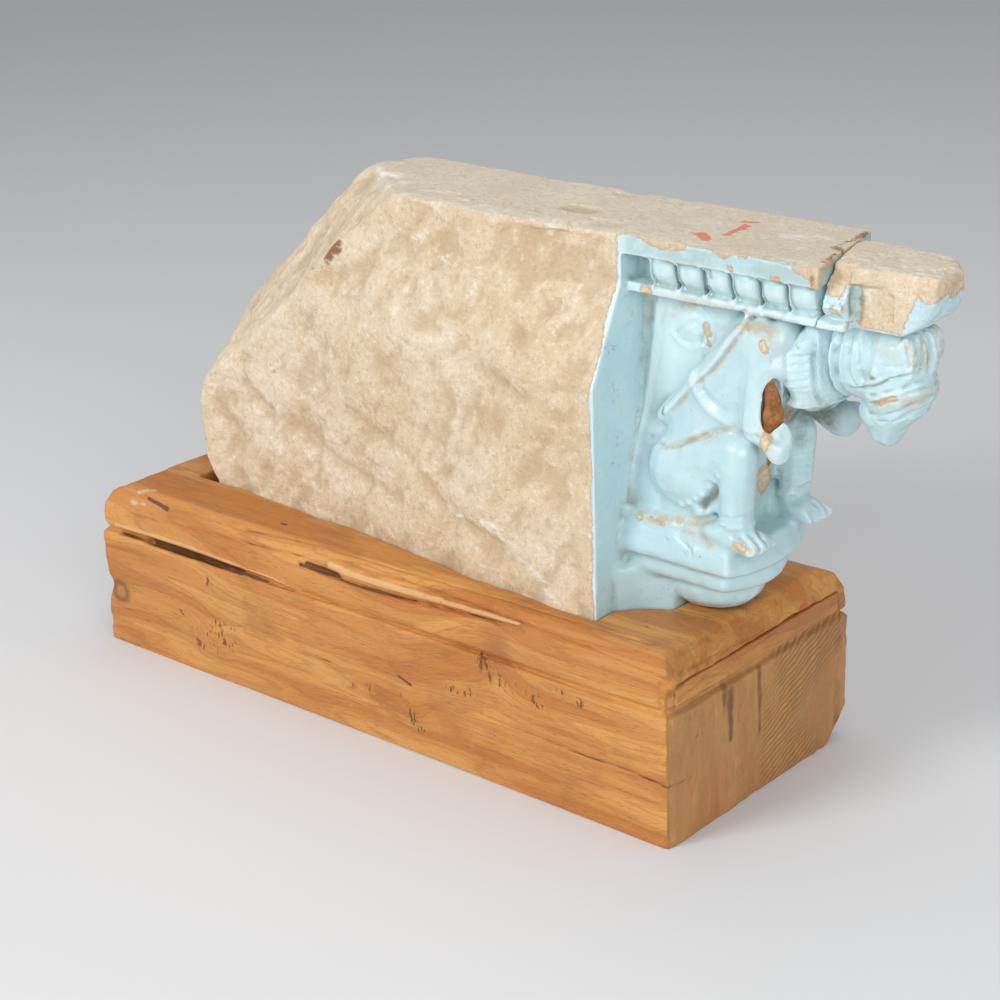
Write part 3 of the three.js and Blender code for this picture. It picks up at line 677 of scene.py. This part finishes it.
# Strokes on the lion and its ground: a line, how wide, and how deep or, below 0, how high
strand_left = [(215, -31, 264), (197, -22, 247), (182, -18, 232), (178, -28, 221), (165, -26, 207)]
strand_right = [
    (219, -31, 259), (215, -36, 252), (206, -33, 241), (198, -32, 232), (184, -30, 219), (172, -27, 206)]
web_edge = [
    (154, -15, 253), (152, -17, 224), (149, -19, 201), (147, -24, 186), (147, -29, 172), (148, -34, 153)]
strokes = [
    (web_edge, 2.2, -1.8), ([(150, -12, 252), (149, -13, 224), (147, -16, 204)], 2.5, 0.5),
    (strand_left, 1.1, 1.2), (strand_right, 1.1, 1.2), (strand[:-1], 2.0, -1.0),
    ([
        (162, -15, 245), (163, -15, 249), (167, -15, 253), (173, -15, 256), (181, -15, 254),
        (186, -16, 250), (185, -16, 242), (182, -16, 237)], 1.8, -1.0),
    ([(163, -16, 240), (168, -16, 236), (174, -16, 234), (181, -16, 236)], 1.6, -0.8),
    ([
        (165, -16, 240), (168, -17, 244), (172, -18, 247), (178, -18, 248), (182, -17, 244),
        (180, -16, 239)], 1.1, 1.0), ([(168, -16, 240), (172, -16, 244), (178, -16, 243)], 1.6, -0.6),
    ([
        (186, -32, 230), (186, -31, 224), (189, -31, 218), (195, -32, 214), (202, -33, 211),
        (207, -31, 208)], 3.2, -1.7),
    ([(191, -32, 226), (192, -31, 221), (198, -32, 218), (206, -33, 214)], 1.8, 0.9),
    ([(218, -36, 240), (218, -36, 229), (216, -35, 218), (215, -34, 206)], 2.2, 0.7),
    ([
        (154, -23, 188), (171, -33, 189), (180, -33, 192), (192, -33, 198), (202, -32, 203),
        (215, -34, 206), (227, -36, 206)], 1.3, 1.3),
    ([(160, -27, 190), (171, -34, 192), (190, -34, 200)], 2.0, -0.8),
    ([(198, -29, 159), (210, -38, 163), (215, -37, 163), (218, -35, 164), (219, -28, 164)], 0.9, 0.7),
    ([(201, -34, 155), (211, -40, 158), (216, -39, 158), (219, -36, 158), (221, -30, 158)], 1.0, 0.9),
    ([(218, -26, 155), (226, -30, 154), (229, -28, 150)], 1.1, 1.4),
    ([(217, -32, 155), (225, -34, 153), (228, -34, 149)], 1.1, 1.4),
    ([(214, -36, 154), (221, -38, 153), (227, -40, 149)], 1.1, 1.4),
    ([(158, -37, 146), (178, -37, 146), (187, -37, 142), (191, -40, 139)], 1.0, 1.0),
    ([(193, -33, 163), (197, -33, 168), (201, -32, 173)], 2.6, 1.7),
    ([(190, -38, 148), (190, -39, 139)], 1.2, 0.8), ([(200, -40, 146), (208, -40, 140)], 1.2, 0.7)]
tufts = [
    (208, -36, 187), (205, -36, 182.5), (201.5, -35, 178), (198, -34, 173.5), (194.5, -34, 169.5),
    (190.5, -34, 166.5), (186, -34, 163.5), (181, -33, 161)]
strokes += [([tuft], 1.9, -1.3) for tuft in tufts]
nearer = folded(points, lion_middle)
rise = carved_by(nearer, strokes)
shin = (
    figure * ramp(points[:, 1], 8, 12) * ramp(points[:, 2], 160, 164) * ramp(points[:, 2], 188, 184)
    * (points[:, 0] > 198))
rise -= 0.32 * shin * (0.5 + 0.5 * np.sin(points[:, 2] * 2 * math.pi / 3.6))
rise -= 0.9 * figure * stroke(nearer, [(155, -25, 263.5), (222, -31, 263)], 1.2)
points += normals * (rise * carved)[:, None]
points = soften(points, edges, 0.7 * figure, 2)
reshape(stone, kept_in(points))

# The hewn tail carries fewer faces than the carving, and then all of it is thinned where it is flattest
thin_out(stone, points[:, 0] < 143, 0.385, 8.0)
work(stone, "DECIMATE", ratio=0.81, use_collapse_triangulate=True)

points, normals, edges = places(stone), facings(stone), edges_of(stone)
nearer = folded(points, lion_middle)
x, y, z = points.T
hollow = hollows(points, normals, edges, 10)
slab_line = (
    290.2 - 2.2 * ramp(rough(points, 9, 60), -0.2, 0.6) - 2.5 * bump_of(x - 170, 8)
    - 3 * bump_of(x - 205, 4))
painted = np.minimum(x - 144.4 - 1.4 * rough(points, 12, 61), slab_line - z)
bare_spots = [
    ([(231, 14, 291)], 6), ([(183, -16, 247), (184, -16, 243)], 2.2), ([(185, -17, 238)], 1.3),
    ([(219, -34, 257), (222, -34, 256)], 1.6), ([(226, -32, 250), (227, -32, 247)], 1.8),
    ([(256, -33, 284), (254, -33, 289), (246, -33, 290)], 4), ([(171, -34, 290)], 4),
    ([(209, -34, 283)], 1.2), ([(232, -34, 282), (235, -34, 282)], 1.6), ([(226, -28, 160)], 1.2),
    ([(217, -40, 151), (221, -40, 150)], 2.3), ([(214, -40, 148)], 1.3), ([(156, -34, 149)], 2.0),
    ([(163, -33, 150), (170, -34, 149)], 1.0), ([(205, -2, 176), (204, 3, 172), (201, 8, 163)], 4.5),
    ([(231, -34, 207), (229, -35, 201)], 2.6), ([(156, -29, 264), (160, -31, 264)], 2.2),
    ([(152, -14, 262)], 2.0), ([(181, -25, 237)], 0.9), ([(239, -34, 267)], 1.2), ([(196, -40, 140)], 1.0),
    ([(211, -36, 245)], 0.8)]
record_on(stone, "paint", np.minimum(painted, -inside_of(points, bare_spots)))
# Dirt and painted shade: the hollows get a dirt colour that also stands in for their shade, and the slab's
# fascia is painted darker as a side in shade
painted_shade_on_fascia = ramp(z, 280, 282) * ramp(z, 291, 289) * ramp(x, 146, 152)
record_on(stone, "dirt_and_shade", np.maximum(ramp(hollow, 0.08, 0.55), 0.5 * painted_shade_on_fascia))
# Painted light: the ridges and the panel behind the lion get a paler blue, as if lit
painted_light_on_panel = (
    ramp(-normals[:, 1], 0.5, 0.8) * (nearer[:, 1] > -22) * ramp(x, 146, 150) * ramp(x, 216, 206)
    * ramp(z, 150, 160) * ramp(z, 264, 260))
record_on(stone, "painted_light", np.maximum(ramp(-hollow, 0.08, 0.45), 0.9 * painted_light_on_panel))
rust_spots = [
    ([(-37, -39, 258), (-43, -39, 252), (-47, -39, 247)], 3.2),
    ([(-56, -39, 244), (-85, -36, 232), (-100, -30, 222)], 2.2), ([(-96, -38, 181), (-94, -38, 176)], 0.8),
    ([(-42, -43, 194), (-38, -43, 190)], 0.8), ([(-32, -43, 167)], 0.7), ([(106, -42, 259)], 1.0),
    ([(122, -41, 258), (124, -41, 254)], 0.8), ([(31, -38, 277), (31, -40, 272)], 1.2),
    ([(10, -38, 270)], 0.8), ([(66, -47, 243)], 0.8),
    ([
        (88, -47, 245), (92, -47, 243), (96, -48, 245), (101, -48, 242), (106, -48, 243),
        (110, -48, 240)], 0.8), ([(129, -49, 240), (136, -49, 241), (146, -46, 245)], 0.5),
    ([(70, -52, 230)], 0.6), ([(20, -46, 190)], 0.6), ([(60, -52, 180)], 0.6)]
record_on(stone, "rust", patch(points, rust_spots, 1.6))
lime_spots = [
    ([(15, -46, 229), (29, -48, 226), (52, -50, 218), (70, -53, 213)], 1.6),
    ([(-72, -39, 122), (-63, -40, 104)], 6), ([(-5, -46, 127), (13, -47, 116), (36, -50, 102)], 3.0),
    ([(46, -52, 129), (79, -56, 133), (102, -57, 119), (121, -57, 101)], 5),
    ([(144, -57, 206), (144, -57, 160), (143, -58, 110)], 2.5), ([(127, -57, 136), (126, -57, 120)], 2),
    ([(122, -57, 180), (121, -57, 171)], 2), ([(113, -45, 253), (119, -52, 233)], 1.6),
    ([(-60, -38, 235), (-20, -40, 240)], 2), ([(-150, -30, 170), (-120, -30, 208)], 4),
    ([(27, -39, 262), (62, -40, 262)], 4), ([(-46, 0, 289), (10, -20, 291), (60, -30, 291)], 6),
    ([(198, -10, 291), (206, -4, 291)], 4), ([(214, 7, 291), (232, 10, 291)], 7),
    ([(224, -9, 291), (231, -6, 291)], 6), ([(216, -1, 291), (228, 1, 291)], 5)]
record_on(stone, "lime", patch(points, lime_spots, 4.0))
chalk_marks = [
    ([(178, -14, 291), (187, -22, 291)], 3.0), ([(190, -10, 291), (189, 8, 291)], 2.6),
    ([(182, 13, 291), (189, 17, 291)], 1.8)]
record_on(stone, "chalk", patch(points, chalk_marks, 1.0))
record_on(stone, "bed", ramp(z, 283, 289) * ramp(normals[:, 2], 0.45, 0.85))
record_on(stone, "grime", np.maximum(
    smeared(nearer, [
        (1, [(171, -33, 189), (180, -33, 192), (192, -33, 198), (208, -33, 205)], 2.2),
        (0.8, strand_right, 1.4), (0.5, strand_left, 1.6),
        (0.9, [(154, -34, 150), (163, -34, 150), (180, -32, 152), (196, -31, 154), (202, -34, 155)], 3.2),
        (0.8, [(180, -32, 147), (196, -36, 149), (200, -38, 146)], 2.4),
        (0.9, [(157, -28, 264), (188, -30, 263), (222, -31, 262)], 1.6),
        (0.8, [(213, -34, 259), (226, -30, 256), (229, -27, 250)], 5),
        (0.9, [(231, -34, 208), (230, -35, 198)], 3.4), (0.7, [(216, -40, 151), (224, -40, 149)], 3.5)]),
    smeared(points, [
        (0.8, [(163, -15, 248), (168, -15, 254), (176, -15, 256)], 1.8),
        (0.8, [(228, -14, 205), (240, 0, 206)], 9), (0.8, [(201, 2, 161), (204, 6, 156)], 5),
        (0.6, [(150, -14, 245), (151, -14, 252)], 3)])))
# Painted shade and soot: a dark olive in the creases under the ruff, between the shins, under the thigh and
# under the slab
record_on(stone, "shade_and_soot", np.maximum(
    smeared(points, [
        (0.8, [(228, -14, 212), (222, 0, 205), (220, 14, 199)], 7),
        (0.6, [(206, 9, 176), (202, 7, 160)], 3.5),
        (0.85, [(223, -6, 207), (221, 8, 204), (234, 10, 205)], 8),
        (0.6, [(217, 12, 202), (218, 13, 188)], 7), (0.9, [(231, -28, 238), (231, -22, 246)], 0.9),
        (0.6, [(146, -26, 249)], 2.5), (0.7, [(152, -15, 245)], 2.5),
        (1, [(167, -28, 206), (166, -28, 203)], 1.0), (0.7, [(196, -32, 285), (197, -33, 277)], 1.8)]),
    smeared(nearer, [
        (0.9, [(194, -31, 164), (198, -30, 168), (202, -30, 173)], 3.6),
        (0.9, [(226, -30, 262), (250, -28, 262)], 2), (0.7, [(150, -28, 131), (160, -30, 131)], 3)])))
joint = [
    (253, -35, 278), (252.5, -34, 289), (252.5, -20, 291), (248, -4, 291), (242, 0, 291), (244, 14, 291),
    (241, 30, 291)]
glue_spots = [
    ([(229.5, -29, 236), (231, -27, 240)], 1.4), ([(226, -8, 208), (232, -10, 210)], 4), (joint, 1.6),
    ([(253, -20, 270), (253, 20, 275)], 5), ([(250, -4, 291), (242, 0, 291)], 2.6)]
record_on(stone, "glue", patch(points, glue_spots, 2.4))

# Limestone with what lies on it: paint with chipped edges, dirt, rust, lime and glue, with painted shade in
# the hollows and creases and painted light on the ridges
layers = ("Paint", "Dirt_and_shade", "Painted_light", "Rust", "Lime", "Chalk", "Bed", "Grime", "Shade_and_soot", "Glue")
limestone, given, result = new_group(
    "painted_limestone", [("Where", "Vector")] + [(name, "Float") for name in layers],
    [("Color", "Color"), ("Roughness", "Float"), ("Height", "Float")])
place = given["Where"]
broad, middling = grainy(place, 15.0, 5.0, 0.62), grainy(place, 70.0, 6.0, 0.68)
sandy, speckled = grainy(place, 330.0, 6.0, 0.8), grainy(place, 900.0, 3.0, 0.7)
slanted = put(
    "Mapping",
    {"Vector": place, "Rotation": (0, math.radians(-40), 0), "Scale": (0.35, 1.0, 1.0)}).outputs[0]
combed = grainy(slanted, 110.0, 5.0, 0.7)
bare = mixed(eased(broad, 0.34, 0.66), tone(213, 191, 158), tone(226, 208, 181))
bare = tinted(bare, middling, 0.48, 0.70, 0.55, tone(200, 174, 138))
bare = tinted(bare, middling, 0.44, 0.28, 0.75, tone(240, 230, 210))
bare = tinted(bare, combed, 0.50, 0.72, 0.5, tone(188, 164, 132))
bare = mixed(times(given["Bed"], 0.55), bare, tone(218, 211, 194))
bare = tinted(bare, sandy, 0.52, 0.68, 0.55, tone(170, 142, 108))
bare = tinted(bare, sandy, 0.46, 0.34, 0.55, tone(246, 238, 222))
bare = tinted(bare, speckled, 0.62, 0.70, 0.6, tone(120, 96, 70))
# Dirt and painted shade darken the bare stone in its hollows
bare = mixed(times(given["Dirt_and_shade"], 0.45), bare, tone(176, 148, 112))
streaky = around_zero(grainy(slanted, 170.0, 6.0, 0.8), 3.2)
limed = plus(given["Lime"], streaky)
bare = tinted(bare, limed, 0.7, 1.5, 0.85, tone(246, 242, 232))
chalked = plus(given["Chalk"], around_zero(sandy, 1.2))
bare = tinted(bare, chalked, 0.5, 0.8, 0.8, tone(224, 112, 88))
coat = mixed(eased(broad, 0.36, 0.64), tone(178, 209, 214), tone(190, 217, 221))
# Painted light: a paler blue on the ridges and the lit panel
coat = mixed(times(given["Painted_light"], 0.6), coat, tone(214, 231, 232))
coat = tinted(coat, middling, 0.52, 0.74, 0.35, tone(206, 218, 206))
# Dirt and painted shade dull the paint in its hollows
soil_and_shade = times(given["Dirt_and_shade"], eased(middling, 0.35, 0.62, 0.1, 0.95))
coat = mixed(times(soil_and_shade, 0.7), coat, tone(132, 138, 122))
blotchy = grainy(place, 150.0, 6.0, 0.75)
soiled = times(given["Grime"], eased(blotchy, 0.38, 0.60, 0.15, 1.0))
coat = mixed(times(soiled, 0.85), coat, tone(186, 158, 112))
edge_noise = around_zero(grainy(place, 330.0, 6.0, 0.8), 6.5)
paint_line = plus(given["Paint"], edge_noise)
pinholes = eased(sum_of("SUBTRACT", speckled, times(given["Painted_light"], 0.05)), 0.66, 0.72)
covered = times(eased(paint_line, -0.1, 0.1), sum_of("SUBTRACT", 1.0, pinholes))
rim = eased(sum_of("ABSOLUTE", plus(paint_line, 0.45)), 0.8, 0.1, 0.0, 0.5)
on_front = eased(given["Bed"], 0.5, 0.1)
bare = mixed(times(rim, on_front), bare, tone(206, 156, 116))
surface = mixed(covered, bare, coat)
# Painted shade and soot: dark olive in creases and under parts
shade_and_soot_mask = plus(given["Shade_and_soot"], around_zero(blotchy, 1.1))
surface = tinted(surface, shade_and_soot_mask, 0.15, 1.15, 0.9, tone(84, 80, 56))
rusted = plus(given["Rust"], around_zero(grainy(place, 260.0, 5.0, 0.75), 1.2))
surface = tinted(surface, rusted, 0.42, 0.8, 0.85, tone(122, 78, 48))
glued = eased(plus(given["Glue"], around_zero(blotchy, 2.4)), 0.55, 0.85)
glue_colour = mixed(eased(sandy, 0.4, 0.6), tone(188, 142, 92), tone(132, 90, 52))
surface = mixed(times(glued, 0.92), surface, glue_colour)
tree.links.new(surface, result["Color"])
matt = sum_of("MAXIMUM", glued, sum_of("SUBTRACT", 1.0, covered))
matt = sum_of("MAXIMUM", matt, times(sum_of("MAXIMUM", soiled, given["Shade_and_soot"]), 0.75))
tree.links.new(eased(matt, 0.0, 1.0, 0.26, 0.93), result["Roughness"])
stone_height = plus(times(sandy, 1.1), times(middling, 0.9))
paint_height = plus(times(grainy(place, 120.0, 3.0, 0.5), 0.5), 1.1)
height = put("Mix", {0: covered, 2: stone_height, 3: paint_height}, data_type="FLOAT").outputs[0]
tree.links.new(height, result["Height"])


def dress_stone(name, piece):
    shader, where = finish_of(name, piece)
    values = {layer: measured(layer.lower()) for layer in layers}
    coat = placed(limestone, {"Where": where, **values})
    tree.links.new(coat["Color"], shader.inputs["Base Color"])
    tree.links.new(coat["Roughness"], shader.inputs["Roughness"])
    roughen(shader, coat["Height"], 0.75, 0.001)


dress_stone("hewn_and_painted_stone", stone)
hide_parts("corbel_block")
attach(stone, "root")

# The broken front
# The lion's head with its mane and collar, and the front of the slab above it. It broke off in one
# piece and was glued back; the slab's sides are lost, and the bare stone shows where they were.
front = workpiece("lion_head_and_slab_front", "front_fragment")
eggs = [
    lump((238.5, -15, 243), (6.5, 10, 8)), lump((241.5, -14, 249.5), (6.5, 10.5, 8)),
    lump((245.5, -13, 256), (6.5, 11, 7)), lump((272, -4, 218), (11, 8, 9)),
    lump((272, -3, 211), (6.5, 6, 8))]
join_on(front, eggs)
work(front, "REMESH", mode="VOXEL", voxel_size=0.00065)

# Above the last dentil's bare end the break runs out to the slab's old side
points = places(front)
x, y, z = points.T
run_out = ramp(x, 286, 270) * (x > 266.8) * ramp(z, 281.5, 284)
points[:, 1] = np.where((y < -14) & (run_out > 0), np.minimum(y, -20 - 5 * run_out), y)
reshape(front, points)
work(front, "REMESH", mode="VOXEL", voxel_size=0.00065)
points, edges = places(front), edges_of(front)
x, y, z = points.T
head = ramp(z, 263, 260)
phase = (x - first_dentil) % dentil_pitch
across = np.clip(np.abs(phase - dentil_half) / dentil_half, 0, 1)
up_dentil = np.clip((z - dentil_foot) / dentil_height, 0, 1)
dentil_end = (x < 269) * (z > 266) * (z < 280) * ramp(np.abs(y), 26, 31) * (1 - head)
inward = 1.3 * across ** 4 + 3.2 * (1 - up_dentil) ** 2.5
points[:, 1] -= np.sign(y) * inward * dentil_end
points = soften(points, edges, head, 40, shrink=False)
points = soften(points, edges, 0.35 * (1 - head) + 0.8 * head, 12)
worn_corner = (1 - head) * np.maximum(ramp(x, 288, 300), ramp(z, 284, 290))
points = soften(points, edges, worn_corner, 40)
mane = head * ramp(x, 242, 246) * ramp(x, 276, 268) * ramp(np.abs(y), 4, 9)
points = soften(points, edges, 0.8 * mane, 24)
beard = 1 - ramp(np.linalg.norm((points - [272, -6, 214]) / [14, 14, 14], axis=1), 0.5, 1)
points = soften(points, edges, beard, 30)
points = shifted(points, (288, 0, 206), (17, 18, 15), (-3, 0, 0.5))
points = shifted(points, (233, -22, 240), (10, 12, 17), (-2.5, -0.8, 0))
reshape(front, points)
normals = facings(front)
strokes = [
    ([(262, -19, 262), (251, -20, 249), (251, -19, 237), (252, -14, 225)], 1.5, 0.8),
    ([(266, -19, 262), (257, -19, 249), (257, -18, 239), (261, -17, 231)], 1.2, 0.7),
    ([(264, -18, 257), (264, -19, 249), (264, -19, 239), (267, -18, 233)], 1.2, 0.6),
    ([(269, -17, 258), (270, -18, 251), (270, -18, 245), (271, -16, 236)], 1.4, 0.6),
    ([(245, -20, 257), (245, -20, 245), (246, -20, 236), (246, -18, 227), (249, -14, 219)], 1.5, 1.0),
    ([(262, -16, 229), (272, -16, 234), (284, -17, 240), (294, -12, 243), (299, 0, 244)], 1.1, 1.1),
    ([(268, -17, 228), (283, -17, 234), (293, -11, 238), (298, 0, 240)], 1.0, 0.9),
    ([(268, -15, 223), (285, -17, 231), (295, -9, 235), (298, 0, 236)], 1.0, 0.9),
    ([(271, -12, 220), (284, -14, 223), (292, -11, 228), (297, 0, 231)], 1.0, 1.0),
    ([(276, -13, 217), (285, -12, 219), (292, -9, 224), (295, 0, 227)], 0.9, 0.8),
    ([(272, -15, 225), (281, -17, 228), (288, -16, 230)], 0.8, 0.9),
    ([(283, -16, 262), (289, -14, 256), (292, -14, 247)], 1.0, 0.8),
    ([(290, -12, 261), (294, -12, 253), (294, -12, 245)], 1.0, 1.0),
    ([(292, -8, 261), (295, -8, 251), (295, -8, 243)], 1.0, 1.0),
    ([(293, -3, 261), (296, -3, 250), (296, -3, 242)], 1.0, 1.0),
    ([(293, 2, 261), (297, 2, 249)], 1.0, 1.0),
    ([(275, -17, 245), (284, -17, 246), (291, -14, 247)], 1.2, 0.5)]
for row in range(9):
    bottom = 252 - 3.9 * row
    strokes.append(([(231, -24, bottom - 2), (238, -25, bottom), (244, -22, bottom + 1)], 0.8, 0.55))
head_middle = 0
nearer = folded(points, head_middle)
rise = carved_by(nearer, strokes)
rise -= 1.4 * stroke(nearer, [(273, -19, 240), (276, -19, 240)], 1.5)
rise += 0.8 * stroke(nearer, [(270, -19, 243), (275, -20, 244), (280, -19, 243)], 1.4)
rise += 0.8 * stroke(nearer, [(272, -18, 237), (282, -19, 240)], 1.8)
broken = ramp(points[:, 2], 262, 265)
grit = (
    0.55 * rough(points, 6, 11) + 0.3 * rough(points, 2.5, 12) + 0.9 * rough(points, 17, 13)
    + 0.15 * rough(points, 1.2, 14))
rise += broken * grit
rise += (1 - broken) * (0.2 * rough(points, 5, 10) + 0.12 * rough(points, 2.2, 19))
points += normals * rise[:, None]
reshape(front, kept_in(points))
x, y, z = points.T
nearer = folded(points, head_middle)
hollow = hollows(points, normals, edges, 14)
nose_edge = x - 291.5 - 0.36 * (z - 263) + 1.2 * rough(points, 5, 62)
nose = np.minimum(nose_edge, 281 - z + 1.6 * rough(points, 5, 63) - 2.5 * bump_of(x - 303, 3))
rear_part = np.minimum(266.5 - x, 276.5 - z + 0.55 * (262 - x) + 1.5 * rough(points, 4, 64))
ledge = 266.8 - z - 4 * ramp(x, 266, 271) - 0.02 * (x - 266)
dentil_side = np.minimum.reduce([2.2 - np.abs(x - 267.2), 282.5 - z, z - 266, y + 30, -18 - y])
painted = np.maximum.reduce([262.6 - z, nose, rear_part, ledge, dentil_side])
bare_spots = [
    ([(279, -17, 228), (286, -16, 231)], 1.6), ([(276, -17, 226)], 1.0), ([(297, -12, 262)], 1.0),
    ([(304, -14, 281), (308, -4, 281)], 2.0), ([(262, -30, 272), (264, -30, 270)], 2.0),
    ([(266, -26, 264)], 1.6), ([(278, -19, 255)], 0.8), ([(283, -18, 252)], 0.7)]
record_on(front, "paint", np.minimum(painted, -inside_of(points, bare_spots)))
# Dirt and painted shade in the hollows of the head, painted light on its ridges
record_on(front, "dirt_and_shade", ramp(hollow, 0.08, 0.5))
record_on(front, "painted_light", ramp(-hollow, 0.05, 0.35))
rust_spots = [
    ([(287, -20, 268), (287, -20, 271)], 0.5), ([(303, -14, 284), (306, -10, 284)], 1.6),
    ([(271, -20, 279)], 0.5)]
record_on(front, "rust", patch(points, rust_spots, 1.2))
record_on(front, "bed", ramp(z, 286, 290) * ramp(normals[:, 2], 0.5, 0.9))
record_on(front, "grime", smeared(nearer, [
    (0.9, [(290, -13, 260), (294, -12, 246)], 2.2), (0.9, [(294, -6, 261), (297, -6, 245)], 2.5),
    (0.8, [(272, -15, 225), (288, -16, 230)], 2),
    (0.9, [(236, -22, 220), (250, -14, 217), (262, -10, 214)], 3.5), (0.7, [(274, -19, 240)], 2.2),
    (0.6, [(276, -18, 258), (286, -17, 252)], 4),
    (0.7, [(231, -26, 250), (231, -25, 232), (234, -24, 220)], 1.6),
    (0.6, [(292, -12, 228), (298, 0, 234)], 4)]))
open_crack = [(229, -22, 238), (230, -22, 243), (233, -22, 249), (238, -21, 255), (242, -20, 260)]
# Painted shade and soot: dark olive in the eye, under the mane, in the open crack and on the last dentil's
# shaded end
record_on(front, "shade_and_soot", np.maximum(
    smeared(nearer, [
        (0.8, [(273, -19.5, 239.5), (278, -19.5, 240)], 1.3),
        (0.6, [(246, -17, 224), (250, -12, 219)], 2)]),
    smeared(points, [
        (0.9, [(240, -8, 215), (262, 0, 212)], 6), (0.85, [(268, -24, 281), (268, -24, 270)], 2.6),
        (0.9, open_crack, 1.9)])))
glue_spots = [
    ([(255, -34, 277), (255, -33, 288), (256, -24, 290)], 1.6),
    ([(231, -24, 216), (238, -23, 213), (244, -17, 213)], 3.0), ([(250, 0, 280), (250, 20, 285)], 3)]
record_on(front, "glue", patch(points, glue_spots, 2.0))
dress_stone("broken_painted_stone", front)
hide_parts("front_fragment")
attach(front, "root")

# Brown filler
# A brown, gritty glue pressed into the open joint between the shoulder and the mane. It was
# smoothed with a finger and is a little sunk.
fill = workpiece("brown_filler", "repair_fill")
work(fill, "REMESH", mode="VOXEL", voxel_size=0.0006)
work(fill, "SMOOTH", factor=0.5, iterations=12)
points, normals = places(fill), facings(fill)
points += normals * (0.4 * rough(points, 4, 21) + 0.25 * rough(points, 1.6, 22))[:, None]
middle = points.mean(axis=0)
points[:, 2] = middle[2] - 2.5 + 1.42 * (points[:, 2] - middle[2])
points[:, 1] += 1.4 * rough(points * [0, 0, 1], 5, 23)
height = (points[:, 2] - middle[2] + 2.5) / np.ptp(points[:, 2]) * 2
taper = 1 - np.where(height > 0, 0.85, 0.5) * np.clip(np.abs(height), 0, 1) ** 1.3
sideways = np.array([math.cos(azimuth), math.sin(azimuth), 0])
points -= ((1 - taper) * ((points - middle) @ sideways + 2.5))[:, None] * sideways
points[:, 2] += 4 * np.clip(height, 0, 1) ** 2
outward = np.array([0.78, -0.62, 0])
points -= 0.5 * np.clip((points - middle) @ outward, 0, None)[:, None] * outward
reshape(fill, points)
shader, where = finish_of("brown_glue", fill)
patches = grainy(where, 160.0, 6.0, 0.75)
colour = mixed(eased(patches, 0.35, 0.65), tone(176, 118, 70), tone(134, 84, 46))
colour = tinted(colour, grainy(where, 420.0, 4.0, 0.7), 0.52, 0.66, 0.6, tone(96, 60, 36))
tree.links.new(colour, shader.inputs["Base Color"])
shader.inputs["Roughness"].default_value = 0.8
roughen(shader, patches, 0.7, 0.001)
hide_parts("repair_fill")
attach(fill, "root")

# Floor and studio light
# A plain pale floor, the strongest light high on the left of the camera, weaker and wider ones on its
# right and overhead, and an even pale sky.
bpy.ops.mesh.primitive_plane_add(size=12, location=(0, 0, 0))
floor = bpy.context.object
floor.name = "floor"
pale = bpy.data.materials.new("pale_floor")
pale.use_nodes = True
pale.node_tree.nodes["Principled BSDF"].inputs["Base Color"].default_value = (0.72, 0.72, 0.72, 1)
pale.node_tree.nodes["Principled BSDF"].inputs["Roughness"].default_value = 0.9
floor.data.materials.append(pale)
for name, spot, power, size in (
    ("key", (-0.5, -1.72, 1.2), 23, 0.7), ("fill", (1.5, -1.1, 0.8), 15.5, 1.0),
    ("top", (0.1, 0.3, 1.9), 9, 1.4)):
    bpy.ops.object.light_add(type="AREA", location=spot)
    light = bpy.context.object
    light.name = name
    light.data.energy = power
    light.data.size = size
    light.rotation_euler = (Vector((0.05, 0, 0.15)) - Vector(spot)).to_track_quat("-Z", "Y").to_euler()
world = bpy.data.worlds.new("studio")
bpy.context.scene.world = world
world.use_nodes = True
world.node_tree.nodes["Background"].inputs["Color"].default_value = (0.93, 0.95, 1.0, 1)
world.node_tree.nodes["Background"].inputs["Strength"].default_value = 0.38
bpy.context.scene.view_settings.view_transform = "Standard"
